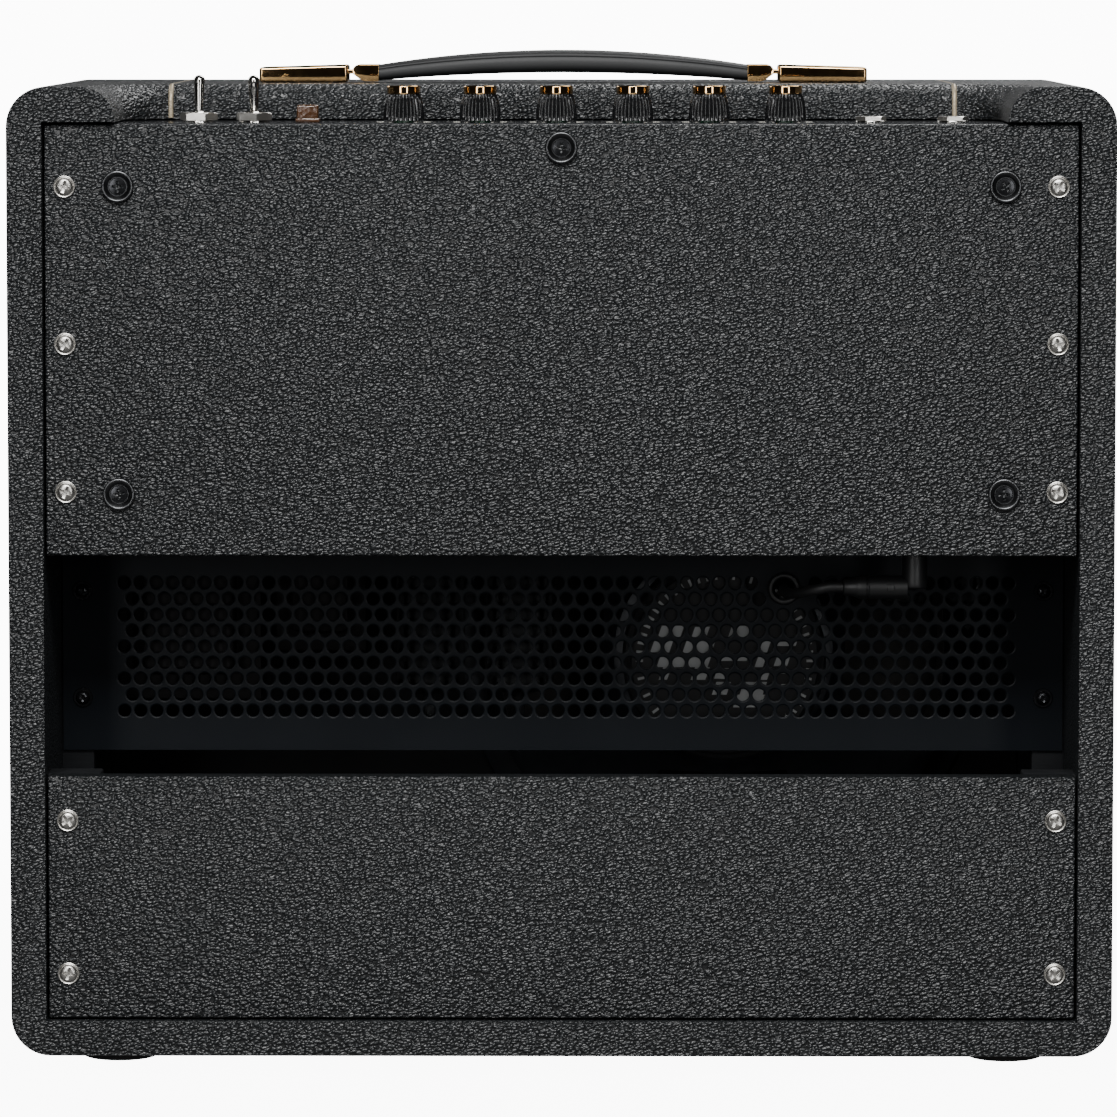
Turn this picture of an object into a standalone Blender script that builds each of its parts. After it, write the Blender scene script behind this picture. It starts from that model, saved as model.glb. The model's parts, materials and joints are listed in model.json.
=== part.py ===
"""Open-backed guitar combo amplifier, modelled as an assembly of its separate pieces.

Metres, +Z up.  The loudspeaker fires towards -Y and the open back faces +Y.  The origin is
under the middle of the cabinet, on the plane that its feet stand on.
"""
import math

import bmesh
import bpy
from mathutils import Matrix, Vector

# --- driving dimensions: cabinet -------------------------------------------------------------
CABINET_WIDTH = 0.500
CABINET_HEIGHT = 0.440        # without feet
CABINET_DEPTH = 0.240
WALL = 0.016
CORNER_RADIUS = 0.018         # the four long outer edges
FOOT_HEIGHT = 0.010
FOOT_RADIUS = 0.019
FOOT_SIDE_INSET = 0.045       # foot centre to the cabinet's side
FOOT_REAR_INSET = 0.062
FOOT_FRONT_INSET = 0.045

# --- gaps -------------------------------------------------------------------------------------
GAP = 0.0003                  # between pieces that touch
PANEL_GAP = 0.001             # round a back panel
SCREW_GAP = 0.0002            # round a screw's shank

# --- back panels and their battens ------------------------------------------------------------
PANEL_THICKNESS = 0.012
PANEL_RECESS = 0.003          # back panels sit this far inside the rear edge
UPPER_PANEL_HEIGHT = 0.195
LOWER_PANEL_HEIGHT = 0.1115
BATTEN_WIDTH = 0.024
BATTEN_DEPTH = 0.018
FRONT_BATTEN = 0.015          # square strip behind the baffle

# --- control recess in the top board ----------------------------------------------------------
RECESS_DEPTH = 0.080          # from the rear edge forwards
RECESS_END_INSET = 0.049      # cabinet side to the end of the recess
RECESS_END_RADIUS = 0.0155
RECESS_LIP_RADIUS = 0.008
CONTROL_SETBACK = 0.040       # control centres from the rear edge

# --- chassis and control panel ----------------------------------------------------------------
CHASSIS_SIDE_GAP = 0.002
CHASSIS_DEPTH = 0.125
CHASSIS_TOP_DROP = 0.0022     # chassis top below the top board
CHASSIS_BOTTOM_RISE = 0.0015  # chassis bottom above the upper panel's lower edge
SHEET = 0.0016
FLANGE_SIDE = 0.016
FLANGE_TOP = 0.020
FLANGE_BOTTOM = 0.008
CONTROL_PANEL_THICKNESS = 0.0012
CONTROL_PANEL_TUCK = 0.010    # how far it runs in under the top board

# Distances between control centres, from the +X end of the recess to its -X end.  They are
# shares of one row, which is stretched to the recess.
ROW_STEPS = {
    "switch": (35.5, 25.2),
    "lamp": (24.5,),
    "knob": (43.7, 34.8, 34.8, 34.8, 34.8, 34.8),
    "input": (38.9, 37.3),
    "end": (22.9,),
}

KNOB_RADIUS = 0.00945
KNOB_TOP_RADIUS = 0.0076
KNOB_HEIGHT = 0.0158
KNOB_CAP_HEIGHT = 0.0040
KNOB_CLEARANCE = 0.0008       # knob above the control panel
SHAFT_RADIUS = 0.0030
SHAFT_GAP = 0.0003
SHAFT_DEPTH = 0.014           # shaft below the knob
BUSHING_RADIUS = 0.0046
BUSHING_RISE = 0.0045         # above the control panel, inside the knob's skirt
POT_RADIUS = 0.0085
POT_HEIGHT = 0.009
BOARD_THICKNESS = 0.0016
BOARD_WIDTH = 0.050

SWITCH_BODY = (0.0150, 0.0200, 0.0240)
SWITCH_BUSHING_RADIUS = 0.0044
SWITCH_BUSHING_RISE = 0.0048
SWITCH_BORE_RADIUS = 0.0029
SWITCH_PIVOT_DROP = 0.0020    # pivot below the bushing's mouth
LEVER_LENGTH = 0.0190         # pivot to tip
LEVER_BASE_RADIUS = 0.0015
LEVER_TIP_RADIUS = 0.0027
LEVER_TILT = 12.0             # degrees each side of upright

LAMP_SIZE = 0.0110
LAMP_HEIGHT = 0.0088
LAMP_STEM_RADIUS = 0.0040
LAMP_STEM_LENGTH = 0.020

JACK_BORE_RADIUS = 0.0034
JACK_BUSHING_RADIUS = 0.0048
JACK_RISE = 0.0022            # bushing outside the panel it is fixed in
JACK_BODY = (0.016, 0.014, 0.026)
BORE_SIDES = 12

# --- mains inlet, boards, transformers and valves ---------------------------------------------
INLET_SIZE = (0.030, 0.024, 0.026)
INLET_CAVITY = (0.0245, 0.0165, 0.018)
INLET_INSET = 0.040           # inlet centre from the chassis side
TRANSFORMER_DROP_GAP = 0.0003
MAINS_TRANSFORMER = (0.066, 0.076, 0.078)
OUTPUT_TRANSFORMER = (0.042, 0.052, 0.056)
TRANSFORMER_GAP = 0.007
COIL_SHARE = 0.62             # winding thickness as a share of the core's
VALVE_SETBACK = 0.012         # valve centres behind the chassis front wall
POWER_VALVE_RADIUS = 0.0165
POWER_VALVE_LENGTH = 0.092
POWER_VALVE_PITCH = 0.042
PREAMP_VALVE_RADIUS = 0.0110
PREAMP_VALVE_LENGTH = 0.050
PREAMP_VALVE_PITCH = 0.030
SOCKET_HEIGHT = 0.010
VALVE_BASE_RADIUS_SHARE = 0.86

# --- loudspeaker ------------------------------------------------------------------------------
BAFFLE_THICKNESS = 0.015
GRILLE_RECESS = 0.008
GRILLE_FRAME_DEPTH = 0.013
GRILLE_RAIL = 0.022
CLOTH_THICKNESS = 0.0010
GRILLE_SIDE_GAP = 0.0015
SPEAKER_RADIUS = 0.127
SPEAKER_RIM = 0.013           # width of the flat rim outside the cut-out
SPEAKER_INSET = 0.158         # axis from the inner side wall at -X
SPEAKER_DROP = 0.0605         # axis below the chassis bottom
SPEAKER_FLANGE = 0.0035
BASKET_DEPTH = 0.058
BASKET_NECK_RADIUS = 0.052
BASKET_SHEET = 0.0015
BASKET_WINDOW = 0.072        # width of each of the four openings between the legs
BASKET_WINDOW_SHARE = 0.50    # depth of an opening as a share of the basket's
TERMINAL_SIZE = (0.012, 0.024, 0.009)
MAGNET_RADIUS = 0.048
MAGNET_DEPTH = 0.034
VOICE_COIL_RADIUS = 0.0190
VOICE_COIL_WALL = 0.0010
COIL_GAP = 0.0010
CONE_MARGIN = 0.008           # room for the surround, between the cone and the cut-out
CONE_SHEET = 0.0012

# --- valve guard, output jacks and speaker lead -----------------------------------------------
GUARD_SETBACK = 0.089         # guard's face from the rear edge
GUARD_SHEET = 0.0015
GUARD_HEIGHT = 0.100
GUARD_RETURN = 0.010          # folded lower edge
GUARD_HOLE_RADIUS = 0.0060
GUARD_BATTEN = 0.015
LEAD_RADIUS = 0.0025
# Output jacks, measured from the inner side wall at -X.
OUTPUT_JACK_INSETS = (0.0724, 0.1010, 0.1231, 0.1553)
PLUG_HEAD_RADIUS = 0.00575
PLUG_HEAD_LENGTH = 0.0170
PLUG_PIN_LENGTH = 0.0280
PLUG_BARREL_LENGTH = 0.0290
PLUG_BARREL_RADIUS = 0.0053

# --- handle -----------------------------------------------------------------------------------
HANDLE_SETBACK = 0.130        # middle of the handle from the rear edge
HANDLE_LENGTH = 0.2845
HANDLE_CAP_LENGTH = 0.0415
HANDLE_CAP_WIDTH = 0.027
HANDLE_CAP_HEIGHT = 0.0082
HANDLE_CAP_WALL = 0.0015
FERRULE_LENGTH = 0.0113
FERRULE_WIDTH = 0.0235
FERRULE_HEIGHT = 0.0080
FERRULE_GAP = 0.0022          # ferrule to cap
TONGUE_LENGTH = 0.024
TONGUE_WIDTH = 0.0160
TONGUE_HEIGHT = 0.0022
STRAP_WIDTH = 0.027
STRAP_END_HEIGHT = 0.0072
STRAP_MIDDLE_HEIGHT = 0.0106
STRAP_CLEARANCE = 0.0045      # under the middle of the strap

# --- screws -----------------------------------------------------------------------------------
PANEL_SCREW_HEAD_RADIUS = 0.0050
PANEL_SCREW_HEAD_HEIGHT = 0.0022
PANEL_SCREW_SHANK_RADIUS = 0.0018
PANEL_SCREW_LENGTH = 0.022
CUP_RADIUS = 0.0070
CUP_HEIGHT = 0.0020
CHASSIS_SCREW_SHANK_RADIUS = 0.0020
CHASSIS_SCREW_LENGTH = 0.018
PANEL_SCREW_INSET = 0.010     # screw line from the inner side wall
CHASSIS_SCREW_INSET = 0.008   # screw line from the chassis side

# --- joint limits, which record.json states ---------------------------------------------------
KNOB_TURN = 300               # degrees, end to end
CONE_TRAVEL = 0.003           # each way from rest
HANDLE_PLAY = 0.0015          # each way from rest

# --- worked out from the values above ---------------------------------------------------------
REAR_Y = CABINET_DEPTH / 2
FRONT_Y = -CABINET_DEPTH / 2
FLOOR_Z = FOOT_HEIGHT
TOP_Z = FOOT_HEIGHT + CABINET_HEIGHT
INNER_X = CABINET_WIDTH / 2 - WALL
INNER_BOTTOM = FLOOR_Z + WALL
INNER_TOP = TOP_Z - WALL
PANEL_REAR_Y = REAR_Y - PANEL_RECESS
PANEL_FRONT_Y = PANEL_REAR_Y - PANEL_THICKNESS
PANEL_HALF_WIDTH = INNER_X - PANEL_GAP
UPPER_PANEL_TOP = INNER_TOP - PANEL_GAP
UPPER_PANEL_BOTTOM = UPPER_PANEL_TOP - UPPER_PANEL_HEIGHT
LOWER_PANEL_BOTTOM = INNER_BOTTOM
LOWER_PANEL_TOP = LOWER_PANEL_BOTTOM + LOWER_PANEL_HEIGHT

RECESS_HALF = CABINET_WIDTH / 2 - RECESS_END_INSET
RECESS_FRONT_Y = REAR_Y - RECESS_DEPTH
CHASSIS_HALF = INNER_X - BATTEN_WIDTH - CHASSIS_SIDE_GAP
CHASSIS_TOP = INNER_TOP - CHASSIS_TOP_DROP
CHASSIS_BOTTOM = UPPER_PANEL_BOTTOM + CHASSIS_BOTTOM_RISE
CHASSIS_REAR_Y = PANEL_FRONT_Y - GAP
CHASSIS_FRONT_Y = CHASSIS_REAR_Y - CHASSIS_DEPTH
CONTROL_Y = REAR_Y - CONTROL_SETBACK
CONTROL_BASE = CHASSIS_TOP + GAP
CONTROL_FACE = CONTROL_BASE + CONTROL_PANEL_THICKNESS

CLOTH_FRONT_Y = FRONT_Y + GRILLE_RECESS
FRAME_FRONT_Y = CLOTH_FRONT_Y + CLOTH_THICKNESS + GAP
BAFFLE_FRONT_Y = FRAME_FRONT_Y + GRILLE_FRAME_DEPTH + GAP
BAFFLE_REAR_Y = BAFFLE_FRONT_Y + BAFFLE_THICKNESS
SPEAKER_X = -(INNER_X - SPEAKER_INSET)
SPEAKER_CUTOUT_RADIUS = SPEAKER_RADIUS - SPEAKER_RIM
CONE_RADIUS = SPEAKER_CUTOUT_RADIUS - CONE_MARGIN
SPEAKER_Z = CHASSIS_BOTTOM - SPEAKER_DROP
SPEAKER_Y = BAFFLE_REAR_Y + GAP
NECK_Y = SPEAKER_Y + BASKET_DEPTH
GUARD_REAR_Y = REAR_Y - GUARD_SETBACK
GUARD_FRONT_Y = GUARD_REAR_Y - GUARD_SHEET
GUARD_TOP = CHASSIS_BOTTOM - GAP
GUARD_BOTTOM = GUARD_TOP - GUARD_HEIGHT
VALVE_Y = CHASSIS_FRONT_Y + VALVE_SETBACK + POWER_VALVE_RADIUS
PLUG_X = -(INNER_X - OUTPUT_JACK_INSETS[0])

# The lead's own points, from the side wall at -X, the guard's face and the chassis bottom.
# They run from the plug's barrel through the guard to the speaker's terminals.
LEAD_ROUTE = (
    (0.1052, 0.0490, -0.0190),
    (0.1110, 0.0490, -0.0190),
    (0.1180, 0.0470, -0.0205),
    (0.1240, 0.0410, -0.0222),
    (0.1280, 0.0320, -0.0235),
    (0.1302, 0.0210, -0.0242),
    (0.1308, 0.0100, -0.0243),
    (0.1308, -0.0010, -0.0243),
    (0.1290, -0.0080, -0.0235),
    (0.1230, -0.0125, -0.0205),
    (0.1150, -0.0160, -0.0180),
    (0.1085, -0.0230, -0.0175),
    (0.1074, -0.0320, -0.0190),
    (0.1078, -0.0400, -0.0205),
    (0.1078, -0.0480, -0.0205),
)
LEAD_POINTS = 36
GUARD_HOLE_INSET = 0.1308     # where the lead passes the guard, from the side wall at -X
GUARD_HOLE_DROP = 0.0243      # and below the chassis bottom


# --- scene helpers ----------------------------------------------------------------------------
def clear_scene():
    for obj in list(bpy.data.objects):
        bpy.data.objects.remove(obj, do_unlink=True)


def new_collection(name):
    collection = bpy.data.collections.new(name)
    bpy.context.scene.collection.children.link(collection)
    return collection


clear_scene()
PARTS = new_collection("guitar_combo_amplifier")
CUTTERS = new_collection("cutters")


def material(name, colour, roughness, metallic):
    mat = bpy.data.materials.new(name)
    mat.use_nodes = True
    shader = mat.node_tree.nodes["Principled BSDF"]
    shader.inputs["Base Color"].default_value = (*colour, 1.0)
    shader.inputs["Roughness"].default_value = roughness
    shader.inputs["Metallic"].default_value = metallic
    return mat


# Each finish is a colour, a roughness and a metallic value.
FINISHES = {
    "vinyl_covering": ((0.042, 0.044, 0.045), 0.55, 0.0),
    "bare_board": ((0.36, 0.25, 0.15), 0.70, 0.0),
    "black_board": ((0.012, 0.012, 0.013), 0.70, 0.0),
    "grille_fabric": ((0.030, 0.030, 0.030), 0.85, 0.0),
    "black_rubber": ((0.015, 0.015, 0.015), 0.75, 0.0),
    "moulded_black": ((0.018, 0.019, 0.020), 0.45, 0.0),
    "gold_plate": ((0.76, 0.52, 0.26), 0.18, 1.0),
    "bright_nickel": ((0.72, 0.70, 0.66), 0.20, 1.0),
    "zinc_steel": ((0.55, 0.56, 0.57), 0.35, 1.0),
    "black_steel": ((0.010, 0.011, 0.013), 0.42, 0.2),
    "black_enamel": ((0.012, 0.012, 0.013), 0.15, 0.0),
    "circuit_board": ((0.02, 0.12, 0.05), 0.45, 0.0),
    "amber_lens": ((0.20, 0.075, 0.030), 0.25, 0.0),
    "iron_core": ((0.030, 0.030, 0.032), 0.50, 0.4),
    "valve_glass": ((0.55, 0.57, 0.58), 0.08, 0.0),
    "paper_cone": ((0.020, 0.019, 0.018), 0.90, 0.0),
    "magnet_steel": ((0.33, 0.34, 0.36), 0.40, 0.6),
}


def place(obj, finish):
    """Put a finished piece in the object's collection, with a material of its own."""
    for collection in list(obj.users_collection):
        collection.objects.unlink(obj)
    PARTS.objects.link(obj)
    obj.data.materials.clear()
    obj.data.materials.append(material(obj.name, *FINISHES[finish]))
    return obj


def make_cutter(obj):
    for collection in list(obj.users_collection):
        collection.objects.unlink(obj)
    CUTTERS.objects.link(obj)
    obj.display_type = "WIRE"
    obj.hide_render = True
    return obj


# --- shape helpers ----------------------------------------------------------------------------
def box(name, low, high):
    """A box between two corners."""
    size = [b - a for a, b in zip(low, high)]
    centre = [(a + b) / 2 for a, b in zip(low, high)]
    bpy.ops.mesh.primitive_cube_add(size=1.0)
    obj = bpy.context.object
    obj.name = name
    obj.data.transform(Matrix.Diagonal((*size, 1.0)))
    obj.location = centre
    return obj


AXIS_TURNS = {
    "+Z": Matrix.Identity(4),
    "-Z": Matrix.Rotation(math.pi, 4, "X"),
    "+Y": Matrix.Rotation(-math.pi / 2, 4, "X"),
    "-Y": Matrix.Rotation(math.pi / 2, 4, "X"),
    "+X": Matrix.Rotation(math.pi / 2, 4, "Y"),
    "-X": Matrix.Rotation(-math.pi / 2, 4, "Y"),
}


def rods(name, places, radius, length, axis="+Y", sides=8):
    """Equal cylinders in one mesh.  Each starts at its place and runs along the axis."""
    mesh = bpy.data.meshes.new(name)
    bm = bmesh.new()
    for centre in places:
        turn = AXIS_TURNS[axis]
        middle = Matrix.Translation(centre) @ turn @ Matrix.Translation((0, 0, length / 2))
        bmesh.ops.create_cone(bm, cap_ends=True, segments=sides, radius1=radius, radius2=radius,
                              depth=length, matrix=middle)
    bm.to_mesh(mesh)
    bm.free()
    obj = bpy.data.objects.new(name, mesh)
    PARTS.objects.link(obj)
    return obj


def turned(name, profile, centre, axis="+Z", steps=24):
    """A profile of (radius, height) points, top to bottom down its outer side, spun round."""
    mesh = bpy.data.meshes.new(name)
    points = [(radius, 0.0, height) for radius, height in profile]
    mesh.from_pydata(points, [(i, i + 1) for i in range(len(points) - 1)], [])
    obj = bpy.data.objects.new(name, mesh)
    PARTS.objects.link(obj)
    obj.matrix_world = Matrix.Translation(centre) @ AXIS_TURNS[axis]
    screw = obj.modifiers.new("spin", "SCREW")
    screw.axis = "Z"
    screw.steps = steps
    screw.render_steps = steps
    screw.use_merge_vertices = True
    screw.merge_threshold = 0.00001
    screw.use_smooth_shade = True
    return obj


def arc(centre, radius, start, end, steps):
    """Points on an arc, in degrees, both ends included."""
    points = []
    for i in range(steps + 1):
        angle = math.radians(start + (end - start) * i / steps)
        points.append((centre[0] + radius * math.cos(angle), centre[1] + radius * math.sin(angle)))
    return points


def rounded_rectangle(width, height, radius, steps=6):
    x, z = width / 2 - radius, height / 2 - radius
    corners = (((x, z), 0), ((-x, z), 90), ((-x, -z), 180), ((x, -z), 270))
    points = []
    for centre, start in corners:
        points += arc(centre, radius, start, start + 90, steps)
    return points


def plate(name, points, thickness, centre, axis="+Y"):
    """A flat outline given thickness.  For +Y its points are (x, z); for +X they are (y, z)."""
    curve = bpy.data.curves.new(name, "CURVE")
    curve.dimensions = "2D"
    curve.fill_mode = "BOTH"
    curve.extrude = thickness / 2
    spline = curve.splines.new("POLY")
    spline.points.add(len(points) - 1)
    for point, (across, up) in zip(spline.points, points):
        point.co = (across, up, 0, 1)
    spline.use_cyclic_u = True
    obj = bpy.data.objects.new(name, curve)
    PARTS.objects.link(obj)
    turn = Matrix.Rotation(math.pi / 2, 4, "X")
    if axis == "+X":
        turn = Matrix.Rotation(math.pi / 2, 4, "Z") @ turn
    obj.matrix_world = Matrix.Translation(centre) @ turn
    return curve_to_mesh(obj)


def curve_to_mesh(obj):
    """Turn a curve object into a mesh object with welded caps, in the same place."""
    bpy.context.view_layer.update()
    evaluated = obj.evaluated_get(bpy.context.evaluated_depsgraph_get())
    mesh = bpy.data.meshes.new_from_object(evaluated)
    bm = bmesh.new()
    bm.from_mesh(mesh)
    bmesh.ops.remove_doubles(bm, verts=bm.verts, dist=0.00001)
    bmesh.ops.recalc_face_normals(bm, faces=bm.faces)
    bm.to_mesh(mesh)
    bm.free()
    name = obj.name
    world = obj.matrix_world.copy()
    bpy.data.objects.remove(obj, do_unlink=True)
    result = bpy.data.objects.new(name, mesh)
    PARTS.objects.link(result)
    result.matrix_world = world
    return result


def combine(target, other, operation):
    """Cut the other shape out of the target, or join it on."""
    modifier = target.modifiers.new(operation.lower(), "BOOLEAN")
    modifier.operation = operation
    modifier.solver = "EXACT"
    modifier.object = make_cutter(other)
    return target


def cut(target, other):
    return combine(target, other, "DIFFERENCE")


def join(target, other):
    return combine(target, other, "UNION")


def bevel(obj, width, segments=2, angle=40):
    modifier = obj.modifiers.new("bevel", "BEVEL")
    modifier.width = width
    modifier.segments = segments
    modifier.limit_method = "ANGLE"
    modifier.angle_limit = math.radians(angle)
    return obj


def control_places():
    """The X of every control, from the shares in ROW_STEPS."""
    steps = [step for group in ROW_STEPS.values() for step in group]
    scale = 2 * RECESS_HALF / sum(steps)
    places = {}
    x = RECESS_HALF
    for kind, group in ROW_STEPS.items():
        places[kind] = []
        for step in group:
            x -= step * scale
            places[kind].append(x)
    return places


CONTROL_X = control_places()


# --- screw places -----------------------------------------------------------------------------
def panel_screw_places():
    """(name, x, z) of the screws that hold the back panels to the battens."""
    middle = (UPPER_PANEL_TOP + UPPER_PANEL_BOTTOM) / 2
    heights = (("upper_top", UPPER_PANEL_TOP - 0.028),
               ("upper_middle", middle - 0.0015),
               ("upper_bottom", UPPER_PANEL_BOTTOM + 0.029),
               ("lower_top", LOWER_PANEL_TOP - 0.0200),
               ("lower_bottom", LOWER_PANEL_BOTTOM + 0.0215))
    x = INNER_X - PANEL_SCREW_INSET
    return [(f"{name}_{side}", sign * x, z) for name, z in heights
            for side, sign in (("left", 1), ("right", -1))]


def chassis_screw_places():
    """(name, x, z) of the screws that hold the chassis to the upper back panel."""
    x = CHASSIS_HALF - CHASSIS_SCREW_INSET
    upper = UPPER_PANEL_TOP - 0.028
    lower = UPPER_PANEL_BOTTOM + 0.028
    return [("middle", 0.0, UPPER_PANEL_TOP - 0.0105), ("upper_left", x, upper),
            ("upper_right", -x, upper), ("lower_left", x, lower), ("lower_right", -x, lower)]


# --- cabinet ----------------------------------------------------------------------------------
def recess_cutter():
    """The opening in the top board: rounded at both ends and along its front lip."""
    low = INNER_TOP - 0.001
    high = TOP_Z + 0.010
    x = RECESS_HALF + RECESS_END_RADIUS
    top = INNER_TOP + RECESS_END_RADIUS
    right = arc((x, INNER_TOP), RECESS_END_RADIUS, 180, 90, 6)
    left = [(-across, up) for across, up in reversed(right)]
    ends = [(RECESS_HALF, low)] + right + [(x, high), (-x, high), (-x, top)] + left[1:]
    ends += [(-RECESS_HALF, low)]
    depth = RECESS_DEPTH + 0.010
    y = RECESS_FRONT_Y + depth / 2
    cutter = plate("recess_ends", ends, depth, (0, y, 0))
    lip_y = RECESS_FRONT_Y - RECESS_LIP_RADIUS
    lip_z = TOP_Z - RECESS_LIP_RADIUS
    lip = [(RECESS_FRONT_Y, low)] + arc((lip_y, lip_z), RECESS_LIP_RADIUS, 0, 90, 5)
    lip += [(lip_y, high), (REAR_Y + 0.010, high), (REAR_Y + 0.010, low)]
    slot = plate("recess_lip", lip, 2 * RECESS_HALF, (0, 0, 0), "+X")
    return cutter, slot


def battens():
    """Strips glued inside the cabinet, as (name, low corner, high corner)."""
    inner = INNER_X - BATTEN_WIDTH
    outer = INNER_X + 0.002
    rear = PANEL_FRONT_Y - GAP
    front = rear - BATTEN_DEPTH
    behind = BAFFLE_REAR_Y + GAP
    edge = behind + FRONT_BATTEN
    guard = GUARD_FRONT_Y - GAP
    strips = []
    for side, sign in (("left", 1), ("right", -1)):
        strips.append((f"upper_{side}", sign * inner, front, UPPER_PANEL_BOTTOM + 0.001,
                       sign * outer, rear, INNER_TOP + 0.002))
        strips.append((f"lower_{side}", sign * inner, front, INNER_BOTTOM - 0.002,
                       sign * outer, rear, LOWER_PANEL_TOP))
        strips.append((f"guard_{side}", sign * (INNER_X - GUARD_BATTEN), guard - GUARD_BATTEN,
                       GUARD_BOTTOM - 0.010, sign * outer, guard, GUARD_TOP - 0.002))
        strips.append((f"baffle_{side}", sign * (INNER_X - FRONT_BATTEN), behind,
                       INNER_BOTTOM - 0.002, sign * outer, edge, INNER_TOP + 0.002))
    strips.append(("baffle_bottom", -outer, behind, INNER_BOTTOM - 0.002,
                   outer, edge, INNER_BOTTOM + FRONT_BATTEN))
    strips.append(("baffle_top", -outer, behind, INNER_TOP - FRONT_BATTEN,
                   outer, edge, INNER_TOP + 0.002))
    return strips


def cabinet_shell():
    centre = (0, 0, FLOOR_Z + CABINET_HEIGHT / 2)
    outline = rounded_rectangle(CABINET_WIDTH, CABINET_HEIGHT, CORNER_RADIUS)
    shell = plate("cabinet_shell", outline, CABINET_DEPTH, centre)
    inside = box("inside", (-INNER_X, FRONT_Y - 0.01, INNER_BOTTOM),
                 (INNER_X, REAR_Y + 0.01, INNER_TOP))
    cut(shell, inside)
    for strip in battens():
        name, x0, y0, z0, x1, y1, z1 = strip
        low = (min(x0, x1), y0, z0)
        high = (max(x0, x1), y1, z1)
        join(shell, box(f"batten_{name}", low, high))
    for cutter in recess_cutter():
        cut(shell, cutter)
    places = [(x, PANEL_FRONT_Y + 0.001, z) for _, x, z in panel_screw_places()]
    length = PANEL_SCREW_LENGTH - PANEL_THICKNESS + 0.003
    cut(shell, rods("pilot_holes", places, PANEL_SCREW_SHANK_RADIUS + SCREW_GAP, length, "-Y"))
    return place(shell, "vinyl_covering")


def back_panels():
    shank = PANEL_SCREW_SHANK_RADIUS + SCREW_GAP
    holes = [(x, PANEL_FRONT_Y - 0.005, z) for _, x, z in panel_screw_places()]
    cups = [(x, PANEL_FRONT_Y - 0.005, z) for _, x, z in chassis_screw_places()]
    spans = (("upper_back_panel", UPPER_PANEL_BOTTOM, UPPER_PANEL_TOP),
             ("lower_back_panel", LOWER_PANEL_BOTTOM + PANEL_GAP, LOWER_PANEL_TOP))
    for name, low, high in spans:
        panel = box(name, (-PANEL_HALF_WIDTH, PANEL_FRONT_Y, low),
                    (PANEL_HALF_WIDTH, PANEL_REAR_Y, high))
        own = [hole for hole in holes if low < hole[2] < high]
        cut(panel, rods(f"{name}_holes", own, shank, PANEL_THICKNESS + 0.010))
        own = [hole for hole in cups if low < hole[2] < high]
        if own:
            radius = CHASSIS_SCREW_SHANK_RADIUS + SCREW_GAP
            cut(panel, rods(f"{name}_cup_holes", own, radius, PANEL_THICKNESS + 0.010))
        place(panel, "vinyl_covering")


def back_screws():
    """Pan-head screws through the back panels, each pointing forwards."""
    head, shank = PANEL_SCREW_HEAD_RADIUS, PANEL_SCREW_SHANK_RADIUS
    height = PANEL_SCREW_HEAD_HEIGHT
    profile = [(0, height), (head * 0.55, height * 0.93), (head * 0.88, height * 0.55),
               (head, 0.0), (shank, 0.0), (shank, -PANEL_SCREW_LENGTH + 0.002),
               (0, -PANEL_SCREW_LENGTH)]
    for name, x, z in panel_screw_places():
        screw = turned(f"screw_{name}", profile, (x, PANEL_REAR_Y + GAP, z), "+Y", 12)
        place(screw, "bright_nickel")
    shank = CHASSIS_SCREW_SHANK_RADIUS
    profile = [(0, CUP_HEIGHT * 0.80), (CUP_RADIUS * 0.45, CUP_HEIGHT * 0.75),
               (CUP_RADIUS * 0.62, CUP_HEIGHT * 0.45), (CUP_RADIUS * 0.80, CUP_HEIGHT),
               (CUP_RADIUS, 0.0), (shank, 0.0), (shank, -CHASSIS_SCREW_LENGTH)]
    profile += [(0, -CHASSIS_SCREW_LENGTH)]
    for name, x, z in chassis_screw_places():
        screw = turned(f"chassis_screw_{name}", profile, (x, PANEL_REAR_Y + GAP, z), "+Y", 14)
        place(screw, "black_steel")


def feet():
    top = FOOT_HEIGHT - GAP
    profile = [(0, top), (FOOT_RADIUS * 0.86, top), (FOOT_RADIUS, top * 0.80),
               (FOOT_RADIUS * 0.92, top * 0.10), (FOOT_RADIUS * 0.86, 0.0), (0, 0.0)]
    x = CABINET_WIDTH / 2 - FOOT_SIDE_INSET
    rows = (("rear", REAR_Y - FOOT_REAR_INSET), ("front", FRONT_Y + FOOT_FRONT_INSET))
    for row, y in rows:
        for side, sign in (("left", 1), ("right", -1)):
            place(turned(f"foot_{row}_{side}", profile, (sign * x, y, 0), steps=20), "black_rubber")


def front():
    """Baffle board, grille frame and grille cloth."""
    half = INNER_X - GRILLE_SIDE_GAP
    low = INNER_BOTTOM + GRILLE_SIDE_GAP
    high = INNER_TOP - GRILLE_SIDE_GAP
    baffle = box("baffle_board", (-half, BAFFLE_FRONT_Y, low), (half, BAFFLE_REAR_Y, high))
    mouth = rods("speaker_cutout", [(SPEAKER_X, BAFFLE_FRONT_Y - 0.01, SPEAKER_Z)],
                 SPEAKER_CUTOUT_RADIUS, BAFFLE_THICKNESS + 0.02, "+Y", 40)
    place(cut(baffle, mouth), "black_board")
    frame_rear = FRAME_FRONT_Y + GRILLE_FRAME_DEPTH
    frame = box("grille_frame", (-half, FRAME_FRONT_Y, low), (half, frame_rear, high))
    window = box("grille_window", (-half + GRILLE_RAIL, FRAME_FRONT_Y - 0.01, low + GRILLE_RAIL),
                 (half - GRILLE_RAIL, frame_rear + 0.01, high - GRILLE_RAIL))
    place(cut(frame, window), "black_board")
    cloth = box("grille_cloth", (-half, CLOTH_FRONT_Y, low),
                (half, CLOTH_FRONT_Y + CLOTH_THICKNESS, high))
    place(cloth, "grille_fabric")


# --- chassis and controls ---------------------------------------------------------------------
def output_jack_places():
    return [-(INNER_X - inset) for inset in OUTPUT_JACK_INSETS]


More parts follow.
